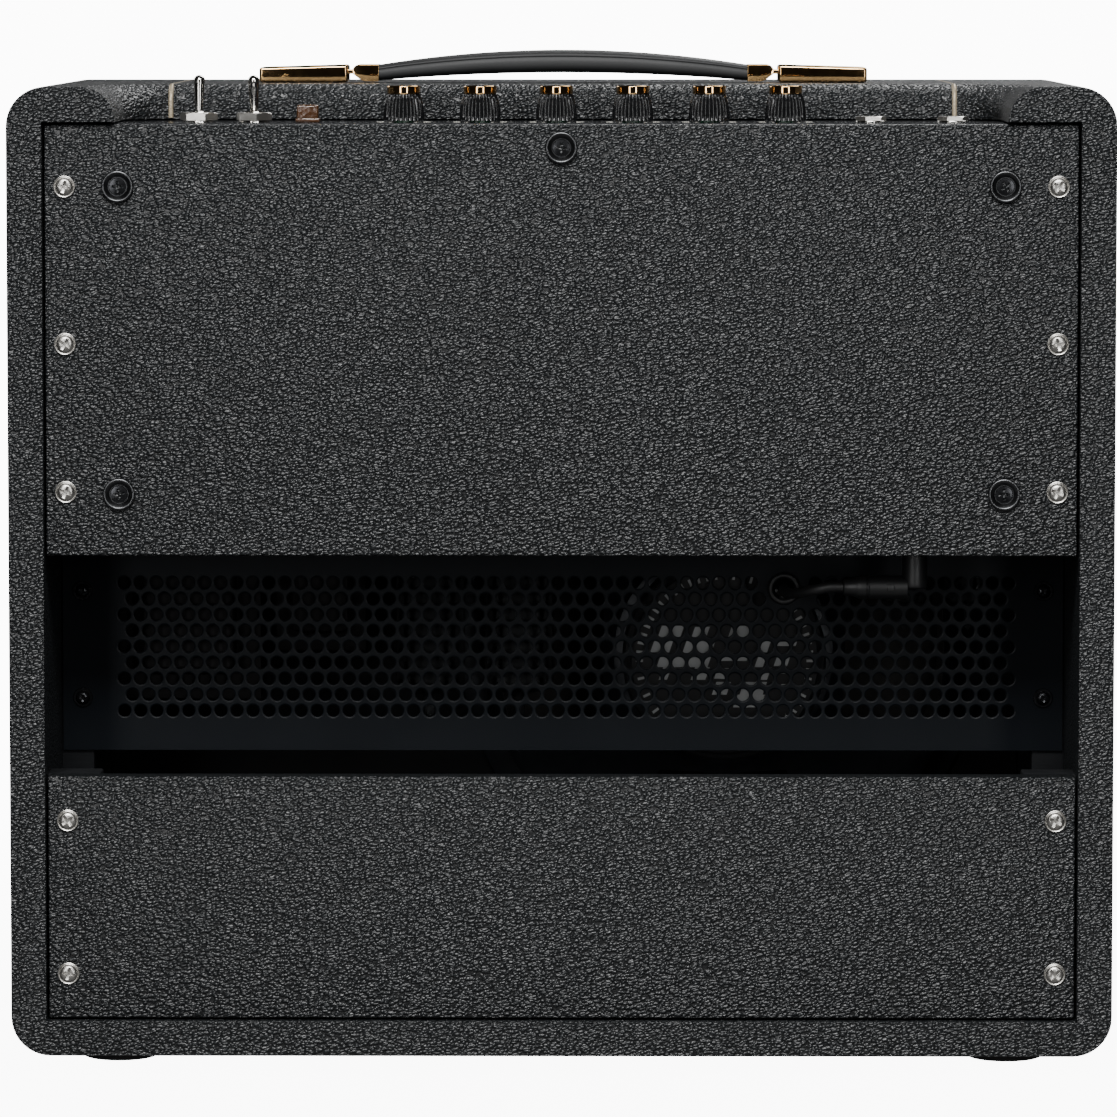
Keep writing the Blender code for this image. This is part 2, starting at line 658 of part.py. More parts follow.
def valve_places():
    """X of the power valves and of the preamp valves."""
    left = CHASSIS_HALF - MAINS_TRANSFORMER[0] - TRANSFORMER_GAP - OUTPUT_TRANSFORMER[0]
    left -= 2 * TRANSFORMER_GAP + POWER_VALVE_RADIUS
    power = [left, left - POWER_VALVE_PITCH]
    right = -(CHASSIS_HALF - PREAMP_VALVE_RADIUS - TRANSFORMER_GAP)
    preamp = [right + PREAMP_VALVE_PITCH, right]
    return power, preamp


def inlet_place():
    return (CHASSIS_HALF - INLET_INSET, CONTROL_Y)


def chassis_tray():
    tray = box("chassis_tray", (-CHASSIS_HALF, CHASSIS_FRONT_Y, CHASSIS_BOTTOM),
               (CHASSIS_HALF, CHASSIS_REAR_Y, CHASSIS_TOP))
    hollow = box("chassis_hollow",
                 (-CHASSIS_HALF + SHEET, CHASSIS_FRONT_Y + SHEET, CHASSIS_BOTTOM + SHEET),
                 (CHASSIS_HALF - SHEET, CHASSIS_REAR_Y - SHEET, CHASSIS_TOP - SHEET))
    window = box("chassis_window",
                 (-CHASSIS_HALF + FLANGE_SIDE, CHASSIS_REAR_Y - 0.01, CHASSIS_BOTTOM + FLANGE_BOTTOM),
                 (CHASSIS_HALF - FLANGE_SIDE, CHASSIS_REAR_Y + 0.01, CHASSIS_TOP - FLANGE_TOP))
    cut(cut(tray, hollow), window)
    top = CHASSIS_TOP - 0.01
    for kind, radius in (("knob", BUSHING_RADIUS), ("switch", SWITCH_BUSHING_RADIUS),
                         ("lamp", LAMP_STEM_RADIUS), ("input", JACK_BUSHING_RADIUS)):
        places = [(x, CONTROL_Y, top) for x in CONTROL_X[kind]]
        cut(tray, rods(f"chassis_{kind}_holes", places, radius + GAP, 0.02, "+Z", BORE_SIDES))
    low = CHASSIS_BOTTOM - 0.01
    jacks = [(x, CONTROL_Y, low) for x in output_jack_places()]
    cut(tray, rods("chassis_jack_holes", jacks, JACK_BUSHING_RADIUS + GAP, 0.02, "+Z", BORE_SIDES))
    power, preamp = valve_places()
    for kind, row, radius in (("power", power, POWER_VALVE_RADIUS),
                              ("preamp", preamp, PREAMP_VALVE_RADIUS)):
        places = [(x, VALVE_Y, low) for x in row]
        reach = radius * VALVE_BASE_RADIUS_SHARE + 2 * GAP
        cut(tray, rods(f"chassis_{kind}_holes", places, reach, 0.02, "+Z", 20))
    x, y = inlet_place()
    half_x, half_y = INLET_SIZE[0] / 2 + GAP, INLET_SIZE[1] / 2 + GAP
    cut(tray, box("chassis_inlet_hole", (x - half_x, y - half_y, low),
                  (x + half_x, y + half_y, low + 0.02)))
    flange = [(x, CHASSIS_REAR_Y - 0.01, z) for _, x, z in chassis_screw_places()]
    cut(tray, rods("flange_holes", flange, CHASSIS_SCREW_SHANK_RADIUS + SCREW_GAP, 0.02))
    place(tray, "zinc_steel")


def control_panel():
    half = RECESS_HALF + CONTROL_PANEL_TUCK / 2
    panel = box("control_panel", (-half, RECESS_FRONT_Y - CONTROL_PANEL_TUCK, CONTROL_BASE),
                (half, CHASSIS_REAR_Y, CONTROL_FACE))
    low = CONTROL_BASE - 0.005
    for kind, radius in (("knob", BUSHING_RADIUS), ("switch", SWITCH_BUSHING_RADIUS),
                         ("lamp", LAMP_STEM_RADIUS), ("input", JACK_BUSHING_RADIUS)):
        places = [(x, CONTROL_Y, low) for x in CONTROL_X[kind]]
        cut(panel, rods(f"panel_{kind}_holes", places, radius + GAP, 0.012, "+Z", BORE_SIDES))
    place(panel, "black_enamel")


def control_board():
    """Circuit board with the potentiometers' bodies and their hollow bushings."""
    top = CHASSIS_TOP - SHEET - GAP
    low = top - POT_HEIGHT
    knobs = CONTROL_X["knob"]
    margin = POT_RADIUS + 0.004
    board = box("control_board",
                (knobs[-1] - margin, CONTROL_Y - BOARD_WIDTH / 2, low - BOARD_THICKNESS),
                (knobs[0] + margin, CONTROL_Y + BOARD_WIDTH / 2 - CONTROL_SETBACK / 2, low + 0.0002))
    bodies = [(x, CONTROL_Y, low) for x in knobs]
    join(board, rods("pot_bodies", bodies, POT_RADIUS, POT_HEIGHT, "+Z", 16))
    rise = CONTROL_FACE + BUSHING_RISE - (top - 0.001)
    bushings = [(x, CONTROL_Y, top - 0.001) for x in knobs]
    join(board, rods("pot_bushings", bushings, BUSHING_RADIUS, rise, "+Z", BORE_SIDES))
    low = CONTROL_FACE + KNOB_CLEARANCE - SHAFT_DEPTH - 0.002
    bores = [(x, CONTROL_Y, low) for x in knobs]
    cut(board, rods("pot_bores", bores, SHAFT_RADIUS + SHAFT_GAP, 0.03, "+Z", BORE_SIDES))
    place(board, "circuit_board")


def knobs():
    """Control knobs, each with its shaft, and hollow underneath to clear the bushing."""
    base = CONTROL_FACE + KNOB_CLEARANCE
    skirt = KNOB_HEIGHT - KNOB_CAP_HEIGHT
    hollow = BUSHING_RISE - KNOB_CLEARANCE + 0.001
    inner = BUSHING_RADIUS + 0.0008
    profile = [(0, KNOB_HEIGHT), (KNOB_TOP_RADIUS - 0.0006, KNOB_HEIGHT),
               (KNOB_TOP_RADIUS, KNOB_HEIGHT - 0.0006), (KNOB_TOP_RADIUS, skirt),
               (KNOB_RADIUS - 0.0004, 0.0012), (KNOB_RADIUS, 0.0), (inner, 0.0),
               (inner, hollow), (SHAFT_RADIUS, hollow), (SHAFT_RADIUS, -SHAFT_DEPTH),
               (0, -SHAFT_DEPTH)]
    for number, x in enumerate(CONTROL_X["knob"], 1):
        knob = turned(f"knob_{number}", profile, (x, CONTROL_Y, base), "+Z", 20)
        place(knob, "moulded_black")


def switches():
    """Toggle switches: a body with a threaded bushing, and a lever on a pivot inside it."""
    top = CHASSIS_TOP - SHEET - GAP
    mouth = CONTROL_FACE + SWITCH_BUSHING_RISE
    pivot_z = mouth - SWITCH_PIVOT_DROP
    ball = SWITCH_BORE_RADIUS - 0.0003
    half_x, half_y = SWITCH_BODY[0] / 2, SWITCH_BODY[1] / 2
    tilts = (-LEVER_TILT, LEVER_TILT)
    for number, (x, tilt) in enumerate(zip(CONTROL_X["switch"], tilts), 1):
        body = box(f"switch_body_{number}", (x - half_x, CONTROL_Y - half_y, top - SWITCH_BODY[2]),
                   (x + half_x, CONTROL_Y + half_y, top))
        bushing = rods("switch_bushing", [(x, CONTROL_Y, top - 0.001)], SWITCH_BUSHING_RADIUS,
                       mouth - top + 0.001, "+Z", BORE_SIDES)
        join(body, bushing)
        bore = turned("switch_bore", [(0, 0.004), (SWITCH_BORE_RADIUS + 0.0022, 0.004),
                                      (SWITCH_BORE_RADIUS, -0.0012),
                                      (SWITCH_BORE_RADIUS, -SWITCH_PIVOT_DROP - 0.006),
                                      (0, -SWITCH_PIVOT_DROP - 0.006)],
                      (x, CONTROL_Y, mouth), "+Z", BORE_SIDES)
        place(cut(body, bore), "bright_nickel")
        profile = [(0, LEVER_LENGTH)]
        tip = LEVER_LENGTH - LEVER_TIP_RADIUS
        profile += [(a, tip + b) for a, b in arc((0, 0), LEVER_TIP_RADIUS, 70, -20, 3)]
        neck = SWITCH_PIVOT_DROP + 0.0006
        profile += [(LEVER_BASE_RADIUS, neck), (LEVER_BASE_RADIUS, ball * 0.8)]
        profile += [(a, b) for a, b in arc((0, 0), ball, 50, -70, 4)]
        profile += [(0, -ball)]
        lever = turned(f"switch_lever_{number}", profile, (x, CONTROL_Y, pivot_z), "+Z", 12)
        lean = Matrix.Rotation(math.radians(-tilt), 4, "X")
        lever.matrix_world = Matrix.Translation((x, CONTROL_Y, pivot_z)) @ lean
        place(lever, "bright_nickel")


def pilot_lamp():
    x = CONTROL_X["lamp"][0]
    half = LAMP_SIZE / 2
    base = CONTROL_FACE + GAP
    lamp = box("pilot_lamp", (x - half, CONTROL_Y - half, base),
               (x + half, CONTROL_Y + half, base + LAMP_HEIGHT))
    bevel(lamp, 0.0008)
    stem = rods("lamp_stem", [(x, CONTROL_Y, base + 0.002)], LAMP_STEM_RADIUS,
                LAMP_STEM_LENGTH, "-Z", 14)
    place(join(lamp, stem), "amber_lens")


def jack_block(name, xs, face, into, finish):
    """A row of jack sockets in one housing.  Its bushings pass out through a panel at face."""
    bodies = [(x, CONTROL_Y) for x in xs]
    start = face + into * (JACK_RISE + SHEET + GAP)
    if into < 0:
        start = face + into * (JACK_RISE + CONTROL_PANEL_THICKNESS + SHEET + 2 * GAP)
    low, high = sorted((start, start + into * JACK_BODY[2]))
    half = JACK_BODY[0] / 2
    block = box(name, (min(xs) - half, CONTROL_Y - JACK_BODY[1] / 2, low),
                (max(xs) + half, CONTROL_Y + JACK_BODY[1] / 2, high))
    axis = "+Z" if into > 0 else "-Z"
    places = [(x, y, face) for x, y in bodies]
    reach = abs(start - face) + 0.001
    join(block, rods(f"{name}_bushings", places, JACK_BUSHING_RADIUS, reach, axis, BORE_SIDES))
    places = [(x, y, face - into * 0.005) for x, y in bodies]
    bores = rods(f"{name}_bores", places, JACK_BORE_RADIUS, JACK_BODY[2] + 0.03, axis, BORE_SIDES)
    return place(cut(block, bores), finish)


def jacks():
    jack_block("input_jacks", CONTROL_X["input"], CONTROL_FACE + JACK_RISE, -1, "moulded_black")
    jack_block("output_jacks", output_jack_places(), CHASSIS_BOTTOM - JACK_RISE, 1, "moulded_black")


def mains_inlet():
    x, y = inlet_place()
    face = CHASSIS_BOTTOM - 0.0012
    inlet = box("mains_inlet", (x - INLET_SIZE[0] / 2, y - INLET_SIZE[1] / 2, face),
                (x + INLET_SIZE[0] / 2, y + INLET_SIZE[1] / 2, face + INLET_SIZE[2]))
    cavity = box("inlet_cavity", (x - INLET_CAVITY[0] / 2, y - INLET_CAVITY[1] / 2, face - 0.01),
                 (x + INLET_CAVITY[0] / 2, y + INLET_CAVITY[1] / 2, face + INLET_CAVITY[2]))
    place(cut(inlet, cavity), "moulded_black")


def transformer(name, centre_x, size):
    """An iron core with its winding standing out at the front and the back."""
    width, depth, height = size
    top = CHASSIS_BOTTOM - TRANSFORMER_DROP_GAP
    y = CHASSIS_FRONT_Y + MAINS_TRANSFORMER[1] / 2 - 0.030
    core_depth = depth * COIL_SHARE
    core = box(name, (centre_x - width / 2, y - core_depth / 2, top - height),
               (centre_x + width / 2, y + core_depth / 2, top))
    side = width * 0.17
    coil = box(f"{name}_winding", (centre_x - width / 2 + side, y - depth / 2, top - height * 0.84),
               (centre_x + width / 2 - side, y + depth / 2, top - height * 0.16))
    bevel(coil, 0.004)
    place(join(core, coil), "iron_core")


def transformers():
    x = CHASSIS_HALF - MAINS_TRANSFORMER[0] / 2
    transformer("mains_transformer", x, MAINS_TRANSFORMER)
    x -= MAINS_TRANSFORMER[0] / 2 + TRANSFORMER_GAP + OUTPUT_TRANSFORMER[0] / 2
    transformer("output_transformer", x, OUTPUT_TRANSFORMER)


def valves():
    """Glass valves hanging through the chassis bottom, and the board with their sockets."""
    power, preamp = valve_places()
    kinds = (("power_valve", power, POWER_VALVE_RADIUS, POWER_VALVE_LENGTH),
             ("preamp_valve", preamp, PREAMP_VALVE_RADIUS, PREAMP_VALVE_LENGTH))
    base = CHASSIS_BOTTOM + SHEET + 0.002
    for kind, row, radius, length in kinds:
        neck = radius * VALVE_BASE_RADIUS_SHARE
        bulb = length - 0.012
        dome = [(a, bulb - radius * 0.45 + b * 0.45) for a, b in arc((0, 0), radius, 90, 10, 4)]
        profile = [(0, length)] + [(radius * 0.16, length - 0.002), (radius * 0.16, bulb + 0.001)]
        profile += dome[1:] + [(radius, 0.020), (neck, 0.014), (neck, 0.0), (0, 0.0)]
        for number, x in enumerate(row, 1):
            valve = turned(f"{kind}_{number}", profile, (x, VALVE_Y, base), "-Z", 18)
            place(valve, "valve_glass")
    start = base + GAP
    board = box("valve_board", (preamp[-1] - 0.012, VALVE_Y - 0.014, start + SOCKET_HEIGHT),
                (power[0] + 0.018, VALVE_Y + 0.030, start + SOCKET_HEIGHT + BOARD_THICKNESS))
    for kind, row, radius, _ in kinds:
        places = [(x, VALVE_Y, start) for x in row]
        sockets = rods(f"{kind}_sockets", places, radius * 0.8, SOCKET_HEIGHT + 0.001, "+Z", 16)
        join(board, sockets)
    place(board, "circuit_board")


# --- loudspeaker ------------------------------------------------------------------------------
def speaker_frame():
    """Pressed basket: a rim against the baffle, sloping legs and a neck plate."""
    rim, neck = SPEAKER_CUTOUT_RADIUS - 0.002, BASKET_NECK_RADIUS
    depth, sheet = BASKET_DEPTH, BASKET_SHEET
    centre = (SPEAKER_X, SPEAKER_Y, SPEAKER_Z)
    profile = [(VOICE_COIL_RADIUS + 0.006, depth), (neck, depth), (neck + 0.002, depth - sheet),
               (rim + sheet, SPEAKER_FLANGE + 0.010), (rim + sheet, SPEAKER_FLANGE),
               (SPEAKER_RADIUS, SPEAKER_FLANGE), (SPEAKER_RADIUS, 0.0), (rim, 0.0),
               (rim, SPEAKER_FLANGE + 0.009), (neck, depth - sheet),
               (VOICE_COIL_RADIUS + 0.006, depth - sheet), (VOICE_COIL_RADIUS + 0.006, depth)]
    frame = turned("speaker_frame", profile, centre, "+Y", 36)
    weld = frame.modifiers.new("weld", "WELD")
    weld.merge_threshold = 0.00001
    middle = SPEAKER_Y + SPEAKER_FLANGE + 0.010 + (depth - SPEAKER_FLANGE - 0.010) * 0.46
    half_depth = BASKET_DEPTH * BASKET_WINDOW_SHARE / 2
    reach = SPEAKER_RADIUS + 0.02
    for quarter in range(2):
        window = box("basket_window", (-reach, -half_depth, -BASKET_WINDOW / 2),
                     (reach, half_depth, BASKET_WINDOW / 2))
        turn = Matrix.Rotation(math.pi / 2 * quarter, 4, "Y")
        window.matrix_world = Matrix.Translation((SPEAKER_X, middle, SPEAKER_Z)) @ turn
        cut(frame, window)
    wall, back, up = LEAD_ROUTE[-1]
    x, y, z = -(INNER_X - wall), GUARD_REAR_Y + back - GAP, CHASSIS_BOTTOM + up
    tag = TERMINAL_SIZE
    join(frame, box("terminal_block", (x - tag[0] / 2, y - tag[1], z - tag[2] / 2),
                    (x + tag[0] / 2, y, z + tag[2] / 2)))
    place(frame, "black_steel")


def speaker_cone():
    """Paper cone with its dust cap and voice coil former, open towards the front."""
    centre = (SPEAKER_X, SPEAKER_Y, SPEAKER_Z)
    coil, wall, sheet = VOICE_COIL_RADIUS, VOICE_COIL_WALL, CONE_SHEET
    throat = BASKET_DEPTH - 0.020
    end = BASKET_DEPTH + 0.008
    profile = [(0, throat - 0.006), (coil - wall, throat - 0.002), (coil - wall, end),
               (coil, end), (coil, throat), (CONE_RADIUS, 0.010), (CONE_RADIUS, 0.010 - sheet),
               (coil, throat - sheet - 0.002), (coil - wall, throat - 0.0045),
               (0, throat - 0.006 - sheet)]
    place(turned("speaker_cone", profile, centre, "+Y", 24), "paper_cone")


def speaker_magnet():
    """Ring magnet between steel plates, with the annular gap that the voice coil runs in."""
    centre = (SPEAKER_X, NECK_Y + GAP, SPEAKER_Z)
    radius, depth = MAGNET_RADIUS, MAGNET_DEPTH
    coil, wall, gap = VOICE_COIL_RADIUS, VOICE_COIL_WALL, COIL_GAP
    slot = 0.020
    profile = [(0, depth), (radius * 0.90, depth), (radius * 0.92, depth - 0.005),
               (radius, depth - 0.007), (radius, 0.007), (radius * 0.92, 0.005),
               (radius * 0.92, 0.0), (coil + gap, 0.0), (coil + gap, slot),
               (coil - wall - gap, slot), (coil - wall - gap, 0.0), (0, 0.0)]
    place(turned("speaker_magnet", profile, centre, "+Y", 30), "magnet_steel")


# --- guard, lead and plug ---------------------------------------------------------------------
def guard_plate():
    half = INNER_X - 0.0008
    guard = box("guard_plate", (-half, GUARD_FRONT_Y, GUARD_BOTTOM),
                (half, GUARD_REAR_Y, GUARD_TOP))
    short = INNER_X - GUARD_BATTEN - 0.002
    fold = box("guard_fold", (-short, GUARD_FRONT_Y - GUARD_RETURN, GUARD_BOTTOM),
               (short, GUARD_FRONT_Y + 0.0007, GUARD_BOTTOM + GUARD_SHEET))
    join(guard, fold)
    place_x = -(INNER_X - GUARD_HOLE_INSET)
    place_z = CHASSIS_BOTTOM - GUARD_HOLE_DROP
    hole = rods("guard_hole", [(place_x, GUARD_FRONT_Y - 0.005, place_z)], GUARD_HOLE_RADIUS,
                0.012, "+Y", 20)
    place(cut(guard, hole), "black_steel")


def lead_points():
    """The lead's route as a smooth curve through its own points."""
    knots = [Vector((-(INNER_X - wall), GUARD_REAR_Y + back, CHASSIS_BOTTOM + up))
             for wall, back, up in LEAD_ROUTE]
    knots = [2 * knots[0] - knots[1]] + knots + [2 * knots[-1] - knots[-2]]
    spans = len(knots) - 3
    points = []
    for i in range(LEAD_POINTS + 1):
        along = spans * i / LEAD_POINTS
        span = min(int(along), spans - 1)
        t = along - span
        a, b, c, d = knots[span:span + 4]
        points.append(0.5 * (2 * b + (c - a) * t + (2 * a - 5 * b + 4 * c - d) * t * t
                             + (3 * b - a - 3 * c + d) * t ** 3))
    return points


def speaker_lead():
    curve = bpy.data.curves.new("speaker_lead", "CURVE")
    curve.dimensions = "3D"
    curve.bevel_depth = LEAD_RADIUS
    curve.bevel_resolution = 2
    curve.use_fill_caps = True
    points = lead_points()
    spline = curve.splines.new("POLY")
    spline.points.add(len(points) - 1)
    for point, place_at in zip(spline.points, points):
        point.co = (*place_at, 1)
    obj = bpy.data.objects.new("speaker_lead", curve)
    PARTS.objects.link(obj)
    place(obj, "black_rubber")


def speaker_plug():
    """Right-angle plug: a pin up into the jack, a round head and a tapering barrel."""
    head_top = CHASSIS_BOTTOM - JACK_RISE - GAP
    start = LEAD_ROUTE[0]
    barrel_z = CHASSIS_BOTTOM + start[2]
    head = turned("speaker_plug", [(0, 0), (PLUG_HEAD_RADIUS * 0.8, 0), (PLUG_HEAD_RADIUS, -0.001),
                                   (PLUG_HEAD_RADIUS, -PLUG_HEAD_LENGTH + 0.0015),
                                   (PLUG_HEAD_RADIUS * 0.75, -PLUG_HEAD_LENGTH),
                                   (0, -PLUG_HEAD_LENGTH)], (PLUG_X, CONTROL_Y, head_top), "+Z", 16)
    pin = rods("plug_pin", [(PLUG_X, CONTROL_Y, head_top - 0.002)], 0.0031,
               PLUG_PIN_LENGTH + 0.002, "+Z", 14)
    join(head, pin)
    lead_x = -(INNER_X - start[0])
    length = lead_x - GAP - PLUG_X
    barrel = turned("plug_barrel", [(0, length), (LEAD_RADIUS + 0.0008, length),
                                    (LEAD_RADIUS + 0.0012, length - 0.006),
                                    (PLUG_BARREL_RADIUS, length - 0.010),
                                    (PLUG_BARREL_RADIUS, 0), (0, 0)],
                    (PLUG_X, GUARD_REAR_Y + start[1], barrel_z), "+X", 16)
    place(join(head, barrel), "moulded_black")


# --- handle -----------------------------------------------------------------------------------
HANDLE_Y = REAR_Y - HANDLE_SETBACK
CAP_OUTER = HANDLE_LENGTH / 2
CAP_INNER = CAP_OUTER - HANDLE_CAP_LENGTH
FERRULE_OUTER = CAP_INNER - FERRULE_GAP
FERRULE_INNER = FERRULE_OUTER - FERRULE_LENGTH
STRAP_HALF = FERRULE_INNER - GAP


def handle_box(name, sign, x0, x1, width, z0, z1):
    low, high = sorted((sign * x0, sign * x1))
    return box(name, (low, HANDLE_Y - width / 2, z0), (high, HANDLE_Y + width / 2, z1))


def handle_caps():
    """End caps on the cabinet top, each hollow and open towards the middle."""
    base = TOP_Z + GAP
    for side, sign in (("left", 1), ("right", -1)):
        cap = handle_box(f"handle_cap_{side}", sign, CAP_INNER, CAP_OUTER, HANDLE_CAP_WIDTH,
                         base, base + HANDLE_CAP_HEIGHT)
        bevel(cap, 0.0012)
        hollow = handle_box("cap_hollow", sign, CAP_INNER - 0.005, CAP_OUTER - HANDLE_CAP_WALL * 3,
                            HANDLE_CAP_WIDTH - 2 * HANDLE_CAP_WALL, base + HANDLE_CAP_WALL * 0.6,
                            base + HANDLE_CAP_HEIGHT - HANDLE_CAP_WALL)
        place(cut(cap, hollow), "gold_plate")


def handle_ends():
    """Metal ferrules on the strap, each with a flat tongue that runs inside its cap."""
    base = TOP_Z + GAP
    for side, sign in (("left", 1), ("right", -1)):
        end = handle_box(f"handle_end_{side}", sign, FERRULE_INNER, FERRULE_OUTER, FERRULE_WIDTH,
                         base + GAP, base + GAP + FERRULE_HEIGHT)
        bevel(end, 0.0015)
        low = base + (HANDLE_CAP_HEIGHT - TONGUE_HEIGHT) / 2
        tongue = handle_box("tongue", sign, FERRULE_OUTER - 0.002, FERRULE_OUTER + TONGUE_LENGTH,
                            TONGUE_WIDTH, low, low + TONGUE_HEIGHT)
        place(join(end, tongue), "gold_plate")


def handle_strap():
    """Moulded strap that bows up between its ferrules."""
    bm = bmesh.new()
    bmesh.ops.create_cube(bm, size=1.0)
    across = [edge for edge in bm.edges
              if abs(edge.verts[0].co.x - edge.verts[1].co.x) > 0.5]
    bmesh.ops.subdivide_edges(bm, edges=across, cuts=15, use_grid_fill=True)
    rise = STRAP_CLEARANCE - 2 * GAP
    for vert in bm.verts:
        share = 2 * vert.co.x
        arch = math.cos(math.pi / 2 * share) ** 1.3 if abs(share) < 1 else 0.0
        height = STRAP_END_HEIGHT + (STRAP_MIDDLE_HEIGHT - STRAP_END_HEIGHT) * arch
        lift = rise * arch
        vert.co.x = STRAP_HALF * share
        vert.co.y *= FERRULE_WIDTH - 0.002 + (STRAP_WIDTH - FERRULE_WIDTH + 0.002) * arch
        vert.co.z = TOP_Z + 3 * GAP + lift + height * (vert.co.z + 0.5)
    mesh = bpy.data.meshes.new("handle_strap")
    bm.to_mesh(mesh)
    bm.free()
    strap = bpy.data.objects.new("handle_strap", mesh)
    PARTS.objects.link(strap)
    strap.location = (0, HANDLE_Y, 0)
    bevel(strap, 0.0022, 2, 60)
    place(strap, "moulded_black")


def build():
    cabinet_shell()
    back_panels()
    back_screws()
    feet()
    front()
    chassis_tray()
    control_panel()
    control_board()
    knobs()
    switches()
    pilot_lamp()
    jacks()
    mains_inlet()
    transformers()
    valves()
    speaker_frame()
    speaker_cone()
    speaker_magnet()
    guard_plate()
    speaker_lead()
    speaker_plug()
    handle_caps()
    handle_ends()
    handle_strap()


build()
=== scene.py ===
"""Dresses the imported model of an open-backed guitar combo amplifier.

Laid out as a Blender add-on and run as a script.  Metres, +Z up.  The loudspeaker fires
towards -Y, and the open back and its controls face +Y.
"""
import json
import math

import bmesh
import bpy
from bpy.props import FloatProperty, FloatVectorProperty, IntProperty, PointerProperty
from mathutils import Matrix, Vector


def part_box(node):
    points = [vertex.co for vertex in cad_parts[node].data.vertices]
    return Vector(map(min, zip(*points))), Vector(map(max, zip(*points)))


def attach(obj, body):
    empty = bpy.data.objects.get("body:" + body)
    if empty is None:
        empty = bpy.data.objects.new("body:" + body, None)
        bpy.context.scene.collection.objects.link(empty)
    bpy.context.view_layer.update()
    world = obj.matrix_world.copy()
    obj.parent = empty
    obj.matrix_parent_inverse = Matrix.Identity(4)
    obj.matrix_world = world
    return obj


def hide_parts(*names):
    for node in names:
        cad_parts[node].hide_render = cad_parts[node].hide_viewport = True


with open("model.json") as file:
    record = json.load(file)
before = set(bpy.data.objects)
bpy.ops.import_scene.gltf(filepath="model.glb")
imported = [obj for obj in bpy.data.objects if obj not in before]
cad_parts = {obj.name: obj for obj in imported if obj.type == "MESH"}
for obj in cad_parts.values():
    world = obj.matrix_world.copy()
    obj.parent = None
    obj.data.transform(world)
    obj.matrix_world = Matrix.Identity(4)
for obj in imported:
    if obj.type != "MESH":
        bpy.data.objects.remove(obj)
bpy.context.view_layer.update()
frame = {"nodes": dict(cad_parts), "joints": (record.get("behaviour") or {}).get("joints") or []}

bl_info = {
    "name": "Guitar combo amplifier",
    "version": (1, 0, 0),
    "blender": (4, 5, 0),
    "location": "3D View > Sidebar > Combo amplifier",
    "description": "Builds the visible pieces of an open-backed guitar combo amplifier",
    "category": "Object",
}

# --- places, from the frame -------------------------------------------------------------------
SHELL_LOW, SHELL_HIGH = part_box("cabinet_shell")
UPPER_LOW, UPPER_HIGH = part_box("upper_back_panel")
LOWER_LOW, LOWER_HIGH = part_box("lower_back_panel")
BAFFLE_REAR_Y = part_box("baffle_board")[1].y
CLOTH_LOW, CLOTH_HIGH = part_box("grille_cloth")
CONTROL_LOW, CONTROL_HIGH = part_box("control_panel")
CHASSIS_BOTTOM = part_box("chassis_tray")[0].z
GUARD_LOW, GUARD_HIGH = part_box("guard_plate")

PANEL_GAP = 0.001             # round each back panel
BATTEN_WIDTH = 0.024
BATTEN_DEPTH = 0.018
FRONT_BATTEN = 0.015
GUARD_BATTEN = 0.015
GUARD_SHEET = 0.0015
HOLE_RIM = 0.0007             # rounded coating round each perforation
LABEL_CARD = 0.0001
MELT = 0.00001                # doubles nearer than this are merged
PANEL_TUCK = 0.010            # control panel under the top board
INNER_X = UPPER_HIGH.x + PANEL_GAP
INNER_BOTTOM = LOWER_LOW.z - PANEL_GAP
INNER_TOP = UPPER_HIGH.z + PANEL_GAP
REAR_Y, FRONT_Y = SHELL_HIGH.y, SHELL_LOW.y
TOP_Z, BOTTOM_Z = SHELL_HIGH.z, SHELL_LOW.z
RECESS_HALF = CONTROL_HIGH.x - PANEL_TUCK / 2
RECESS_FRONT_Y = CONTROL_LOW.y + PANEL_TUCK
CONTROL_FACE = CONTROL_HIGH.z
GUARD_FACE_Y = GUARD_HIGH.y
TINY = 0.0002


def middle(node):
    low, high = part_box(node)
    return (low + high) / 2


CONTROL_Y = middle("knob_1").y
LEAD_HOLE = Vector((-(INNER_X - 0.1308), GUARD_FACE_Y, CHASSIS_BOTTOM - 0.0243))


# --- settings ---------------------------------------------------------------------------------
def size(name, default, text):
    return FloatProperty(name=name, description=text, default=default, unit="LENGTH", precision=5)


def colour(name, default, text):
    return FloatVectorProperty(name=name, description=text, default=default, size=3,
                               subtype="COLOR", min=0.0, max=1.0)


class CabinetSettings(bpy.types.PropertyGroup):
    corner_radius: size("Corner radius", 0.018, "Radius of the four long outer edges")
    rim_radius: size("Rim radius", 0.0022, "Rounding of the covered front and rear edges")
    lip_radius: size("Lip radius", 0.008, "Rounding of the top board over the controls")
    ear_radius: size("Ear radius", 0.0155, "Rounding at each end of the control recess")
    recess_corner: size("Recess corner", 0.024, "Radius of the recess's inner corners")
    panel_rounding: size("Panel rounding", 0.0010, "Rounding of a covered back panel's edges")
    piping_radius: size("Piping radius", 0.0012, "Half the thickness of the gold piping")
    piping_inset: size("Piping inset", 0.0199, "Piping from the ends of the control recess")
    grain: size("Grain", 0.00155, "Width of one pebble of the vinyl's leather grain")
    covering: colour("Covering", (0.0084, 0.0096, 0.0106), "Colour of the leather-grain vinyl")


